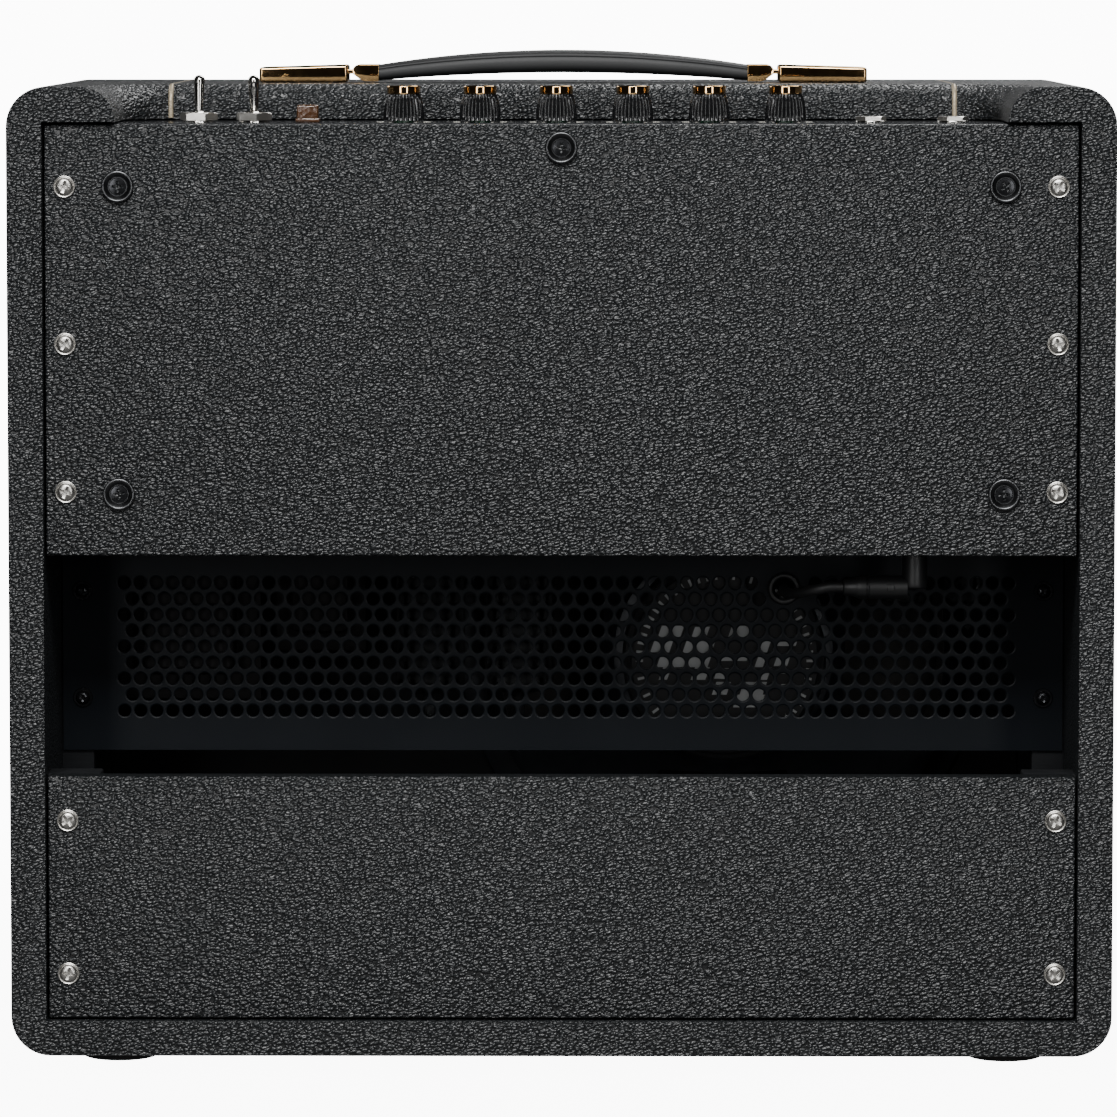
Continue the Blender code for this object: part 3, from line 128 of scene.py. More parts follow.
class ControlSettings(bpy.types.PropertyGroup):
    flutes: IntProperty(name="Flutes", description="Flutes round a knob", default=30, min=8)
    flute_depth: size("Flute depth", 0.00085, "Depth of a knob's flutes")
    cap_height: size("Cap height", 0.0039, "Height of a knob's gold rim")
    nut_width: size("Nut width", 0.0150, "A control nut across its flats")
    nut_height: size("Nut height", 0.0034, "Thickness of a control nut")
    marks: IntProperty(name="Dial marks", description="Marks round each knob", default=11, min=2)
    gold: colour("Gold", (0.66, 0.42, 0.19), "Colour of the gold plate")
    nickel: colour("Nickel", (0.72, 0.70, 0.66), "Colour of the bright nickel plate")
    amber: colour("Amber", (0.058, 0.022, 0.006), "Colour of the pilot lamp's lens")


class GuardSettings(bpy.types.PropertyGroup):
    hole_radius: size("Hole radius", 0.0029, "Radius of a perforation")
    pitch: size("Pitch", 0.0075, "Distance between perforations")
    columns: IntProperty(name="Columns", description="Holes in a long row", default=56, min=2)
    rows: IntProperty(name="Rows", description="Rows of holes", default=9, min=3)
    field_drop: size("Field drop", 0.0216, "First row below the guard's top edge")
    field_shift: size("Field shift", -0.0016, "Middle of the perforated field from the centre")
    colour: colour("Powder coat", (0.0030, 0.0040, 0.0054), "Colour of the guard's coating")


class HandleSettings(bpy.types.PropertyGroup):
    groove: size("Groove", 0.0007, "Depth of the groove along each side of the strap")
    cap_rounding: size("Cap rounding", 0.0013, "Rounding of an end cap")
    cap_fall: size("Cap fall", 0.0012, "How much lower a cap is at its outer end")
    strap_colour: colour("Strap", (0.0050, 0.0054, 0.0058), "Colour of the moulded strap")


class StudioSettings(bpy.types.PropertyGroup):
    distance: size("Camera distance", 2.8, "Camera to the cabinet's rear edge")
    eye_rise: size("Eye height", 0.042, "Camera above the cabinet's top")
    tilt: FloatProperty(name="Tilt", description="Camera's downward tilt", default=0.0728,
                        subtype="ANGLE")
    aside: size("Camera aside", -0.02, "Camera to one side of the middle")
    frame_width: size("Frame width", 0.5026, "Width of the picture at the cabinet's rear edge")
    shift_x: FloatProperty(name="Shift", description="Camera's sideways shift", default=-0.0025)
    key_power: FloatProperty(name="Key power", description="Power of the key light, in watts",
                             default=135.0)
    floor: colour("Floor", (0.90, 0.90, 0.90), "Colour of the floor")


SETTINGS = (CabinetSettings, ControlSettings, GuardSettings, HandleSettings, StudioSettings)


def settings(kind):
    return getattr(bpy.context.scene, "combo_" + kind)


def linked(name, data):
    """An object of this data in the scene."""
    obj = bpy.data.objects.new(name, data)
    bpy.context.scene.collection.objects.link(obj)
    return obj


def plain_mesh(obj):
    """The evaluated shape of an object, as a mesh of its own."""
    bpy.context.view_layer.update()
    return bpy.data.meshes.new_from_object(
        obj.evaluated_get(bpy.context.evaluated_depsgraph_get()))


# --- node trees -------------------------------------------------------------------------------
class Link:
    """An output socket in a node tree.  Operators on a number add Math nodes to the tree."""

    def __init__(self, tree, socket):
        self.tree = tree
        self.socket = socket

    def out(self, name):
        return Link(self.tree, find_socket(self.socket.node.outputs, name))

    def math(self, operation, *others, clamp=False):
        values = dict(enumerate((self,) + others))
        return self.tree.node("ShaderNodeMath",
                              {"operation": operation, "use_clamp": clamp}, values)

    def swapped(self, operation, other):
        values = {0: other, 1: self}
        return self.tree.node("ShaderNodeMath", {"operation": operation}, values)

    def __add__(self, other):
        return self.math("ADD", other)

    def __sub__(self, other):
        return self.math("SUBTRACT", other)

    def __mul__(self, other):
        return self.math("MULTIPLY", other)

    def __truediv__(self, other):
        return self.math("DIVIDE", other)

    def __pow__(self, other):
        return self.math("POWER", other)

    def __rsub__(self, other):
        return self.swapped("SUBTRACT", other)

    def __rtruediv__(self, other):
        return self.swapped("DIVIDE", other)

    __radd__ = __add__
    __rmul__ = __mul__


def find_socket(sockets, key):
    """A socket by number, by identifier or by name."""
    if isinstance(key, int):
        return sockets[key]
    for socket in sockets:
        if socket.identifier == key:
            return socket
    return sockets[key]


class Tree:
    """Builds nodes: first a node's own settings, then the values or links of its sockets."""

    def __init__(self, node_tree):
        self.made = node_tree

    def node(self, kind, options=None, values=None, output=0):
        made = self.made.nodes.new(kind)
        for key, value in (options or {}).items():
            if key == "stops":
                self.ramp(made.color_ramp, value)
            else:
                setattr(made, key, value)
        for key, value in (values or {}).items():
            self.feed(find_socket(made.inputs, key), value)
        return Link(self, find_socket(made.outputs, output)) if made.outputs else made

    def feed(self, socket, value):
        if isinstance(value, Link):
            self.made.links.new(value.socket, socket)
        elif socket.type == "RGBA":
            socket.default_value = (*value, 1.0)
        else:
            socket.default_value = value

    @staticmethod
    def ramp(ramp, stops):
        while len(ramp.elements) < len(stops):
            ramp.elements.new(1.0)
        for element, (place, shade) in zip(ramp.elements, stops):
            element.position = place
            element.color = (shade, shade, shade, 1.0)


class Finish(Tree):
    """A material with a Principled shader."""

    def __init__(self, name, base, roughness, metallic=0.0, **constants):
        self.material = bpy.data.materials.new(name)
        self.material.use_nodes = True
        super().__init__(self.material.node_tree)
        self.shader = self.made.nodes["Principled BSDF"]
        self.set("Base Color", base)
        self.set("Roughness", roughness)
        self.set("Metallic", metallic)
        for key, value in constants.items():
            self.set(key.replace("_", " ").title().replace("Ior", "IOR"), value)

    def set(self, name, value):
        self.feed(self.shader.inputs[name], value)

    def place(self):
        return self.node("ShaderNodeTexCoord", output="Object")

    def noise(self, scale, detail=3.0, at=None, rough=0.5, distortion=0.0):
        values = {"Vector": at or self.place(), "Scale": scale, "Detail": detail,
                  "Roughness": rough, "Distortion": distortion}
        return self.node("ShaderNodeTexNoise", values=values)

    def cells(self, scale, feature="F1", at=None, output="Distance"):
        values = {"Vector": at or self.place(), "Scale": scale}
        return self.node("ShaderNodeTexVoronoi", {"feature": feature}, values, output)

    def spread(self, value, low, high):
        """A number from 0 to 1, taken to the range low to high."""
        return self.node("ShaderNodeMapRange",
                         values={"Value": value, "To Min": low, "To Max": high})

    def tint(self, factor, low, high):
        """A colour between two, by a number from 0 to 1."""
        return self.node("ShaderNodeMix", {"data_type": "RGBA"},
                         {"Factor_Float": factor, "A_Color": low, "B_Color": high},
                         "Result_Color")

    def stretched(self, scale):
        return self.node("ShaderNodeMapping", values={"Vector": self.place(), "Scale": scale})

    def bump(self, height, distance, strength=1.0):
        self.set("Normal", self.node("ShaderNodeBump", values={
            "Height": height, "Distance": distance, "Strength": strength}))
        return self.material


def shade(base, factor):
    return tuple(channel * factor for channel in base)


class Grower(Tree):
    """A Geometry Nodes tree with named inputs, and a function that runs it."""

    def __init__(self, name, inputs):
        group = bpy.data.node_groups.new(name, "GeometryNodeTree")
        super().__init__(group)
        kinds = {"Geometry": "NodeSocketGeometry", "Object": "NodeSocketObject",
                 "Material": "NodeSocketMaterial", "Float": "NodeSocketFloat",
                 "Int": "NodeSocketInt"}
        group.interface.new_socket("Geometry", in_out="INPUT", socket_type=kinds["Geometry"])
        for key, kind in inputs.items():
            group.interface.new_socket(key, in_out="INPUT", socket_type=kinds[kind])
        group.interface.new_socket("Material", in_out="INPUT", socket_type=kinds["Material"])
        group.interface.new_socket("Geometry", in_out="OUTPUT", socket_type=kinds["Geometry"])
        self.inputs = self.node("NodeGroupInput")

    def input(self, name):
        return self.inputs.out(name)

    def xyz(self, x=0.0, y=0.0, z=0.0):
        return self.node("ShaderNodeCombineXYZ", values={"X": x, "Y": y, "Z": z})

    def joined(self, *parts):
        join = self.node("GeometryNodeJoinGeometry")
        for part in parts:
            self.made.links.new(part.socket, join.socket.node.inputs[0])
        return join

    def end(self, geometry):
        real = self.node("GeometryNodeRealizeInstances", values={0: geometry})
        last = self.node("GeometryNodeSetMaterial",
                         values={"Geometry": real, "Material": self.input("Material")})
        self.made.links.new(last.socket, self.made.nodes.new("NodeGroupOutput").inputs[0])
        return self

    def grow(self, name, start=None, **values):
        """Run the tree on a start mesh and return the result as a plain mesh."""
        holder = linked(name, start or bpy.data.meshes.new(name))
        modifier = holder.modifiers.new(name, "NODES")
        modifier.node_group = self.made
        for item in self.made.interface.items_tree:
            key = item.name.lower().replace(" ", "_")
            if item.in_out == "INPUT" and key in values:
                modifier[item.identifier] = values[key]
        mesh = plain_mesh(holder)
        holder.modifiers.clear()
        bpy.data.objects.remove(holder)
        return mesh


def scatter_tree():
    """Copies of one object at the points of a mesh, each turned by chance about an axis."""
    tree = Grower("copies_at_points", {"Part": "Object", "Seed": "Int", "Turn About Y": "Float",
                                       "Turn About Z": "Float"})
    part = tree.node("GeometryNodeObjectInfo", values={"Object": tree.input("Part")},
                     output="Geometry")
    chance = tree.node("FunctionNodeRandomValue", {"data_type": "FLOAT"},
                       {"Max_001": math.tau, "Seed": tree.input("Seed")}, "Value_001")
    turn = tree.xyz(0.0, chance * tree.input("Turn About Y"), chance * tree.input("Turn About Z"))
    copies = tree.node("GeometryNodeInstanceOnPoints", values={
        "Points": tree.input("Geometry"), "Instance": part, "Rotation": turn})
    return tree.end(copies)


def perforated_tree():
    """A flat sheet with staggered rows of holes and one larger hole for a cable."""
    names = ("Width", "Height", "Sheet", "Pitch", "Hole Radius", "Field Shift", "Field Top",
             "Cable X", "Cable Z", "Cable Radius", "Margin")
    tree = Grower("perforated_sheet", {**{name: "Float" for name in names},
                                       "Columns": "Int", "Rows": "Int", "Rim": "Object"})
    pitch, columns, rows = tree.input("Pitch"), tree.input("Columns"), tree.input("Rows")

    def rows_of(count_x, count_y, first):
        grid = tree.node("GeometryNodeMeshGrid", values={
            "Size X": (count_x - 1) * pitch, "Size Y": (count_y - 1) * pitch * 2,
            "Vertices X": count_x, "Vertices Y": count_y})
        z = tree.input("Field Top") - first * pitch - (count_y - 1) * pitch
        move = tree.xyz(tree.input("Field Shift"), z, 0.0)
        return tree.node("GeometryNodeTransform", values={"Geometry": grid, "Translation": move})

    half = (rows / 2).math("FLOOR")
    points = tree.joined(rows_of(columns, rows - half, 0.0), rows_of(columns - 1, half, 1.0))
    cable = tree.xyz(tree.input("Cable X"), tree.input("Cable Z"), 0.0)
    away = tree.node("ShaderNodeVectorMath", {"operation": "DISTANCE"},
                     {0: tree.node("GeometryNodeInputPosition"), 1: cable}, "Value")
    near = away.math("LESS_THAN", tree.input("Cable Radius") + tree.input("Margin"))
    points = tree.node("GeometryNodeDeleteGeometry", {"domain": "POINT"},
                       {"Geometry": points, "Selection": near})
    circle = tree.node("GeometryNodeCurvePrimitiveCircle", values={
        "Resolution": 18, "Radius": tree.input("Hole Radius")})
    holes = tree.node("GeometryNodeInstanceOnPoints", values={"Points": points,
                                                              "Instance": circle})
    holes = tree.node("GeometryNodeRealizeInstances", values={0: holes})
    outline = tree.node("GeometryNodeCurvePrimitiveQuadrilateral", values={
        "Width": tree.input("Width"), "Height": tree.input("Height")})
    large = tree.node("GeometryNodeCurvePrimitiveCircle", values={
        "Resolution": 32, "Radius": tree.input("Cable Radius")})
    large = tree.node("GeometryNodeTransform", values={"Geometry": large, "Translation": cable})
    flat = tree.node("GeometryNodeFillCurve", {"mode": "TRIANGLES"},
                     {"Curve": tree.joined(outline, holes, large)})
    thick = tree.node("GeometryNodeExtrudeMesh", {"mode": "FACES"}, {
        "Mesh": flat, "Offset Scale": tree.input("Sheet"), "Individual": False})
    back = tree.node("GeometryNodeFlipFaces", values={"Mesh": flat})
    solid = tree.node("GeometryNodeMergeByDistance", values={
        "Geometry": tree.joined(thick, back), "Distance": 0.00001})
    rim = tree.node("GeometryNodeObjectInfo", values={"Object": tree.input("Rim")},
                    output="Geometry")
    rims = tree.node("GeometryNodeInstanceOnPoints", values={"Points": points, "Instance": rim})
    upright = tree.node("GeometryNodeTransform", values={
        "Geometry": tree.joined(solid, rims), "Rotation": (math.pi / 2, 0.0, 0.0)})
    return tree.end(upright)


def fluted_tree():
    """A fluted skirt: a flat grid rolled up, its radius rising and falling round the knob."""
    names = ("Bottom Radius", "Top Radius", "Height", "Flute Depth", "Flutes")
    tree = Grower("fluted_skirt", {name: "Float" for name in names})
    steps, rings = 240, 13
    grid = tree.node("GeometryNodeMeshGrid", values={
        "Size X": 1.0, "Size Y": 1.0, "Vertices X": steps + 1, "Vertices Y": rings})
    place = tree.node("ShaderNodeSeparateXYZ",
                      values={0: tree.node("GeometryNodeInputPosition")}, output="X")
    across, up = place, place.out("Y") + 0.5
    angle = across * math.tau
    wave = (angle * tree.input("Flutes")).math("COSINE") * 0.5 + 0.5
    ends = (up * 9.0).math("MINIMUM", 1.0) * ((1.0 - up) * 7.0).math("MINIMUM", 1.0)
    slope = tree.input("Top Radius") - tree.input("Bottom Radius")
    radius = tree.input("Bottom Radius") + slope * up ** 2.25
    radius = radius - wave ** 1.6 * tree.input("Flute Depth") * (0.10 + ends * 0.90)
    spot = tree.xyz(radius * angle.math("COSINE"), radius * angle.math("SINE"),
                    up * tree.input("Height"))
    skirt = tree.node("GeometryNodeSetPosition", values={"Geometry": grid, "Position": spot})
    skirt = tree.node("GeometryNodeMergeByDistance", values={
        "Geometry": skirt, "Distance": 0.00001})
    return tree.end(skirt)


def dial_tree():
    """Marks on an arc round each point of a mesh."""
    tree = Grower("dial_marks", {"Marks": "Int", "Radius": "Float", "Sweep": "Float",
                                 "Length": "Float", "Width": "Float"})
    marks = tree.input("Marks")
    dots = tree.node("GeometryNodePoints", values={"Count": marks})
    index = tree.node("GeometryNodeInputIndex")
    turn = (index / (marks - 1) - 0.5) * tree.input("Sweep")
    spot = tree.xyz(turn.math("SINE") * tree.input("Radius"),
                    turn.math("COSINE") * tree.input("Radius") * -1.0, 0.0)
    dots = tree.node("GeometryNodeSetPosition", values={"Geometry": dots, "Position": spot})
    mark = tree.node("GeometryNodeMeshCube", values={
        "Size": tree.xyz(tree.input("Width"), tree.input("Length"), 0.00012)})
    ring = tree.node("GeometryNodeInstanceOnPoints", values={
        "Points": dots, "Instance": mark, "Rotation": tree.xyz(0.0, 0.0, turn)})
    rings = tree.node("GeometryNodeInstanceOnPoints", values={
        "Points": tree.input("Geometry"), "Instance": ring})
    return tree.end(rings)


# --- finishes ---------------------------------------------------------------------------------
MADE = {}


def finish(kind):
    """Each finish is made once, the first time that it is asked for."""
    if kind not in MADE:
        MADE[kind] = FINISHES[kind]()
    return MADE[kind]


def leather_vinyl():
    cabinet = settings("cabinet")
    base = tuple(cabinet.covering)
    f = Finish("leather_grain_vinyl", base, 0.36)
    warp = f.noise(330.0, 1.0).out("Color")
    drawn = f.node("ShaderNodeMapping", {"vector_type": "TEXTURE"}, {
        "Vector": f.place(), "Rotation": (0.0, 0.22, 0.0), "Scale": (1.25, 1.25, 0.77)})
    shift = f.node("ShaderNodeVectorMath", {"operation": "MULTIPLY_ADD"},
                   {0: warp, 1: (0.0022, 0.0022, 0.0016), 2: drawn})
    pebble = (f.cells(1.0 / cabinet.grain, "F1", shift) * 1.3).math("MINIMUM", 1.0)
    crease = f.noise(760.0, 1.5, shift, 0.5)
    dome = 1.0 - pebble * pebble
    height = dome * 0.72 + crease * 0.28
    broad = f.noise(7.0, 3.0)
    # The colour runs dark in the grain's valleys and light on the pebbles' tops, painted shade and painted
    # highlight in the grain, with a broad random tone over it.
    grain_shade_and_tone = f.spread(dome * 0.6 + crease * 0.2 + broad * 0.2, 0.0, 1.0)
    f.set("Base Color", f.tint(grain_shade_and_tone, shade(base, 0.10), shade(base, 1.60)))
    f.set("Roughness", f.spread(crease * 0.5 + broad * 0.5, 0.46, 0.30))
    return f.bump(height, 0.0010)


def black_paint():
    return mottled("flat_black_paint", (0.005, 0.0055, 0.0065),
                   ((0.003, 0.0034, 0.0042), (0.008, 0.0088, 0.0102)),
                   900.0, 4.0, 0.00012, 0.70, gloss=(0.55, 0.75), stretch=(0.08, 0.08, 1.0),
                   grade=0.6, specular_ior_level=0.25)


def powder_coat():
    base = tuple(settings("guard").colour)
    f = Finish("black_powder_coat", base, 0.40, specular_ior_level=0.12)
    grain = f.noise(1900.0, 2.0)
    cloud = f.noise(14.0, 3.0)
    dust = f.node("ShaderNodeValToRGB", {"stops": ((0.70, 0.0), (0.76, 1.0))},
                  {"Fac": f.noise(620.0, 1.0)})
    f.set("Base Color", f.tint(cloud * 0.6 + dust * 0.03, base, shade(base, 2.0)))
    f.set("Roughness", f.spread(cloud, 0.34, 0.50))
    return f.bump(grain, 0.00006)


def enamel():
    f = Finish("gloss_black_enamel", (0.010, 0.0105, 0.012), 0.14, coat_weight=0.4)
    cloud = f.noise(30.0, 2.0)
    scratch = f.noise(700.0, 2.0, f.stretched((0.03, 1.0, 1.0)))
    f.set("Base Color", f.tint(cloud, (0.009, 0.009, 0.011), (0.015, 0.016, 0.018)))
    f.set("Roughness", f.spread(scratch, 0.08, 0.24))
    return f.bump(cloud, 0.00008)


def nickel(name, depth, low, high, dent=0.000006):
    base = shade(tuple(settings("controls").nickel), depth)
    return plated(name, base, low, high, dent=dent)


def plated(name, base, low, high, streak=(1.0, 1.0, 1.0), dent=0.000006):
    """A plated metal: handling marks in its gloss, a faint tarnish and tiny waves."""
    f = Finish(name, base, low, 1.0)
    smear = f.noise(240.0, 2.0, f.stretched(streak), 0.5)
    tarnish = f.noise(70.0, 3.0)
    f.set("Base Color", f.tint(tarnish, shade(base, 0.72), shade(base, 1.08)))
    f.set("Roughness", f.spread(smear, low, high))
    return f.bump(smear, dent)


def bright_nickel():
    return nickel("bright_nickel", 0.85, 0.06, 0.16)


def screw_nickel():
    return nickel("screw_nickel", 0.70, 0.26, 0.42, 0.00004)


def nut_nickel():
    return nickel("nut_nickel", 0.80, 0.28, 0.44)


def gold_plate():
    return plated("gold_plate", tuple(settings("controls").gold), 0.03, 0.12)


def woven_piping():
    """Dull gold piping with a fine twist in it."""
    gold = (0.36, 0.30, 0.21)
    return mottled("woven_piping", gold, (shade(gold, 0.5), shade(gold, 1.4)),
                   1100.0, 2.0, 0.00025, 0.42, 0.35, (0.32, 0.55))


def mottled(name, base, colours, scale, detail, dent, rough, metallic=0.0, gloss=None,
            stretch=None, grade=0.5, **constants):
    """One noise that runs through a finish's colour, its gloss where asked, and its skin."""
    f = Finish(name, base, rough, metallic, **constants)
    cloud = f.noise(scale, detail, f.stretched(stretch) if stretch else None, grade)
    f.set("Base Color", f.tint(cloud, *colours))
    if gloss:
        f.set("Roughness", f.spread(cloud, *gloss))
    return f.bump(cloud, dent)


def powder_edge():
    """The powder coat on the hole rims, made pale and metallic: a painted highlight that makes the rims glint.
    """
    return mottled("powder_coat_edge", (0.15, 0.155, 0.165),
                   ((0.110, 0.115, 0.125), (0.190, 0.195, 0.205)),
                   900.0, 2.0, 0.00004, 0.28, 0.85, (0.24, 0.34))


def zinc_sheet():
    return plated("zinc_sheet", (0.05, 0.051, 0.054), 0.40, 0.60, (0.05, 1.0, 1.0))


def dark_screw():
    return mottled("blackened_screw", (0.018, 0.0185, 0.020),
                   ((0.012, 0.0125, 0.014), (0.034, 0.035, 0.038)),
                   420.0, 3.0, 0.00006, 0.24, 0.8, (0.18, 0.32))


def cup_steel():
    return plated("cup_steel", (0.085, 0.087, 0.090), 0.24, 0.38)


def moulded(name, base, low, high, dent):
    f = Finish(name, base, low)
    skin = f.noise(1300.0, 2.0)
    cloud = f.noise(45.0, 3.0)
    f.set("Base Color", f.tint(cloud, shade(base, 0.75), shade(base, 1.35)))
    f.set("Roughness", f.spread(cloud * 0.5 + skin * 0.5, low, high))
    return f.bump(skin, dent)


def knob_black():
    return moulded("knob_black", (0.004, 0.0042, 0.0046), 0.10, 0.18, 0.00001)


def strap_vinyl():
    base = tuple(settings("handle").strap_colour)
    return moulded("strap_vinyl", base, 0.54, 0.68, 0.00005)


def plug_black():
    return moulded("plug_black", (0.007, 0.0074, 0.008), 0.36, 0.52, 0.00004)


def lead_rubber():
    return moulded("lead_rubber", (0.007, 0.0072, 0.0078), 0.42, 0.60, 0.00005)


def foot_rubber():
    return moulded("foot_rubber", (0.020, 0.020, 0.020), 0.60, 0.80, 0.00015)


def amber_lens():
    base = tuple(settings("controls").amber)
    f = Finish("amber_lens", base, 0.26, transmission_weight=0.25, ior=1.49, coat_weight=0.1)
    glow = f.noise(260.0, 2.0)
    f.set("Base Color", f.tint(glow, shade(base, 0.6), shade(base, 1.5)))
    return f.bump(f.cells(480.0), 0.00035)


def copper_washer():
    return plated("copper_washer", (0.72, 0.32, 0.14), 0.20, 0.40)


def circuit_board():
    f = Finish("circuit_board", (0.012, 0.090, 0.040), 0.35)
    track = f.cells(150.0, "F1")
    line = f.node("ShaderNodeValToRGB", {"stops": ((0.42, 0.0), (0.46, 1.0))}, {"Fac": track})
    f.set("Base Color", f.tint(line, (0.010, 0.070, 0.030), (0.020, 0.130, 0.058)))
    return f.bump(line, 0.00005)


def iron_core():
    return mottled("varnished_laminations", (0.008, 0.008, 0.009),
                   ((0.004, 0.004, 0.005), (0.016, 0.015, 0.015)),
                   1500.0, 1.0, 0.00015, 0.60, gloss=(0.50, 0.70), stretch=(0.01, 1.0, 0.01),
                   specular_ior_level=0.08)


def valve_glass():
    return mottled("valve_glass", (0.05, 0.052, 0.055),
                   ((0.02, 0.021, 0.022), (0.10, 0.104, 0.108)),
                   60.0, 3.0, 0.00010, 0.05, transmission_weight=0.6, ior=1.45)


def cone_paper():
    return mottled("pressed_paper", (0.018, 0.017, 0.016),
                   ((0.011, 0.011, 0.010), (0.030, 0.028, 0.026)),
                   1200.0, 4.0, 0.00018, 0.85, grade=0.7)


def magnet_ferrite():
    return mottled("magnet_ferrite", (0.010, 0.0104, 0.011),
                   ((0.007, 0.0074, 0.008), (0.018, 0.0186, 0.020)),
                   900.0, 3.0, 0.00015, 0.60, specular_ior_level=0.25)


def label_card():
    f = Finish("blank_label", (0.30, 0.31, 0.31), 0.45)
    fade = f.noise(45.0, 3.0)
    f.set("Base Color", f.tint(fade, (0.20, 0.205, 0.205), (0.38, 0.39, 0.39)))
    return f.bump(f.noise(800.0), 0.00003)


def label_dark():
    return moulded("label_dark", (0.0016, 0.0018, 0.0022), 0.62, 0.74, 0.00003)


def basket_steel():
    return mottled("basket_steel", (0.020, 0.022, 0.026),
                   ((0.014, 0.016, 0.020), (0.036, 0.039, 0.046)),
                   180.0, 3.0, 0.00008, 0.38, 0.4, (0.30, 0.48))


def grille_weave():
    """Two-tone basket weave: threads across and up, passing over and under each other."""
    f = Finish("grille_weave", (0.03, 0.03, 0.03), 0.80, sheen_weight=0.25)
    spot = f.node("ShaderNodeSeparateXYZ", values={0: f.place()}, output="X")
    thread = 0.0016
    across, up = spot * (math.pi / thread), spot.out("Z") * (math.pi / thread)
    wide = across.math("SINE").math("ABSOLUTE")
    tall = up.math("SINE").math("ABSOLUTE")
    over = ((across / 2).math("SINE") * (up / 2).math("SINE")).math("GREATER_THAN", 0.0)
    height = over * tall + (1.0 - over) * wide
    fibre = f.noise(3200.0, 2.0)
    pick = f.node("ShaderNodeVectorMath", {"operation": "SNAP"},
                  {0: f.place(), 1: (thread * 2, 1.0, thread)})
    fleck = f.node("ShaderNodeTexWhiteNoise", values={"Vector": pick}, output="Value")
    fleck = fleck.math("GREATER_THAN", 0.62)
    light = f.tint(fleck, (0.022, 0.023, 0.024), (0.150, 0.152, 0.150))
    mixed = f.tint(over, (0.016, 0.017, 0.018), light)
    # The colour runs to near black where each thread dips at its edges: painted shade on the rounded threads.
    f.set("Base Color", f.tint(height, (0.004, 0.004, 0.004), mixed))
    f.set("Roughness", f.spread(fibre, 0.70, 0.92))
    return f.bump(height * 0.9 + fibre * 0.1, 0.00045)


def dial_paint():
    return mottled("dial_paint", (0.60, 0.58, 0.52), ((0.42, 0.41, 0.37), (0.66, 0.64, 0.58)),
                   900.0, 2.0, 0.00002, 0.40)


def studio_floor():
    """A floor that only shows near the object, and there faintly."""
    base = tuple(settings("studio").floor)
    f = Finish("studio_floor", base, 0.70)
    cloud = f.noise(1.5, 2.0)
    away = f.node("ShaderNodeVectorMath", {"operation": "LENGTH"}, {0: f.place()}, "Value")
    f.set("Base Color", f.tint(cloud, shade(base, 0.99), base))
    f.set("Alpha", (1.0 - away).math("MULTIPLY", 0.22, clamp=True))
    return f.material


FINISHES = {
    "vinyl": leather_vinyl, "paint": black_paint, "powder": powder_coat, "edge": powder_edge,
    "enamel": enamel, "nickel": bright_nickel, "nut": nut_nickel, "screw": screw_nickel,
    "gold": gold_plate, "zinc": zinc_sheet,
    "dark_screw": dark_screw, "cup": cup_steel, "knob": knob_black, "strap": strap_vinyl,
    "plug": plug_black, "lead": lead_rubber, "rubber": foot_rubber, "amber": amber_lens, "copper": copper_washer,
    "board": circuit_board, "core": iron_core, "glass": valve_glass, "paper": cone_paper,
    "ferrite": magnet_ferrite, "label": label_card, "label_dark": label_dark,
    "basket": basket_steel,
    "weave": grille_weave, "piping": woven_piping, "dial": dial_paint, "floor": studio_floor,
}


# --- pieces -----------------------------------------------------------------------------------
def piece(name, mesh, kinds, body="cabinet", stands_for=()):
    """Make an object of a mesh, and say what it rides on and which CAD nodes it replaces."""
    obj = linked(name, mesh)
    mesh.materials.clear()
    for kind in [kinds] if isinstance(kinds, str) else kinds:
        mesh.materials.append(finish(kind))
    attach(obj, body)
    if stands_for:
        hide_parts(*stands_for)
    return obj


def dress(node, kind):
    """Give a CAD node that is shown as it stands its finish."""
    mesh = frame["nodes"][node].data
    mesh.materials.clear()
    mesh.materials.append(finish(kind))


def to_mesh(bm, name, smooth_angle=32.0):
    mesh = bpy.data.meshes.new(name)
    bm.to_mesh(mesh)
    bm.free()
    mesh.shade_smooth()
    mesh.set_sharp_from_angle(angle=math.radians(smooth_angle))
    return mesh


def add_block(bm, low, high, rounding=0.0, steps=3):
    """A box between two corners, with all its edges rounded."""
    low, high = Vector(low), Vector(high)
    spread = Matrix.Diagonal((*(high - low), 1.0))
    made = bmesh.ops.create_cube(bm, size=1.0,
                                 matrix=Matrix.Translation((low + high) / 2) @ spread)
    if rounding:
        edges = {edge for vert in made["verts"] for edge in vert.link_edges}
        bmesh.ops.bevel(bm, geom=list(edges), offset=rounding, segments=steps, profile=0.5,
                        affect="EDGES", clamp_overlap=True)


TURNS = {
    "+Z": Matrix.Identity(4),
    "-Z": Matrix.Rotation(math.pi, 4, "X"),
    "+Y": Matrix.Rotation(-math.pi / 2, 4, "X"),
    "-Y": Matrix.Rotation(math.pi / 2, 4, "X"),
    "+X": Matrix.Rotation(math.pi / 2, 4, "Y"),
    "-X": Matrix.Rotation(-math.pi / 2, 4, "Y"),
}


def add_turned(bm, profile, centre, axis="+Z", steps=32, lean=None):
    """Spin a profile of (radius, height) points, top to bottom, into faces that point out."""
    place = Matrix.Translation(centre) @ (lean or Matrix.Identity(4)) @ TURNS[axis]
    rings = []
    for radius, height in profile:
        count = 1 if radius == 0 else steps
        ring = []
        for i in range(count):
            angle = math.tau * i / steps
            spot = Vector((radius * math.cos(angle), radius * math.sin(angle), height))
            ring.append(bm.verts.new(place @ spot))
        rings.append(ring)
    for upper, lower in zip(rings, rings[1:]):
        for i in range(steps):
            j = (i + 1) % steps
            corners = [upper[i % len(upper)], lower[i % len(lower)],
                       lower[j % len(lower)], upper[j % len(upper)]]
            corners = list(dict.fromkeys(corners))
            if len(corners) > 2:
                bm.faces.new(corners)


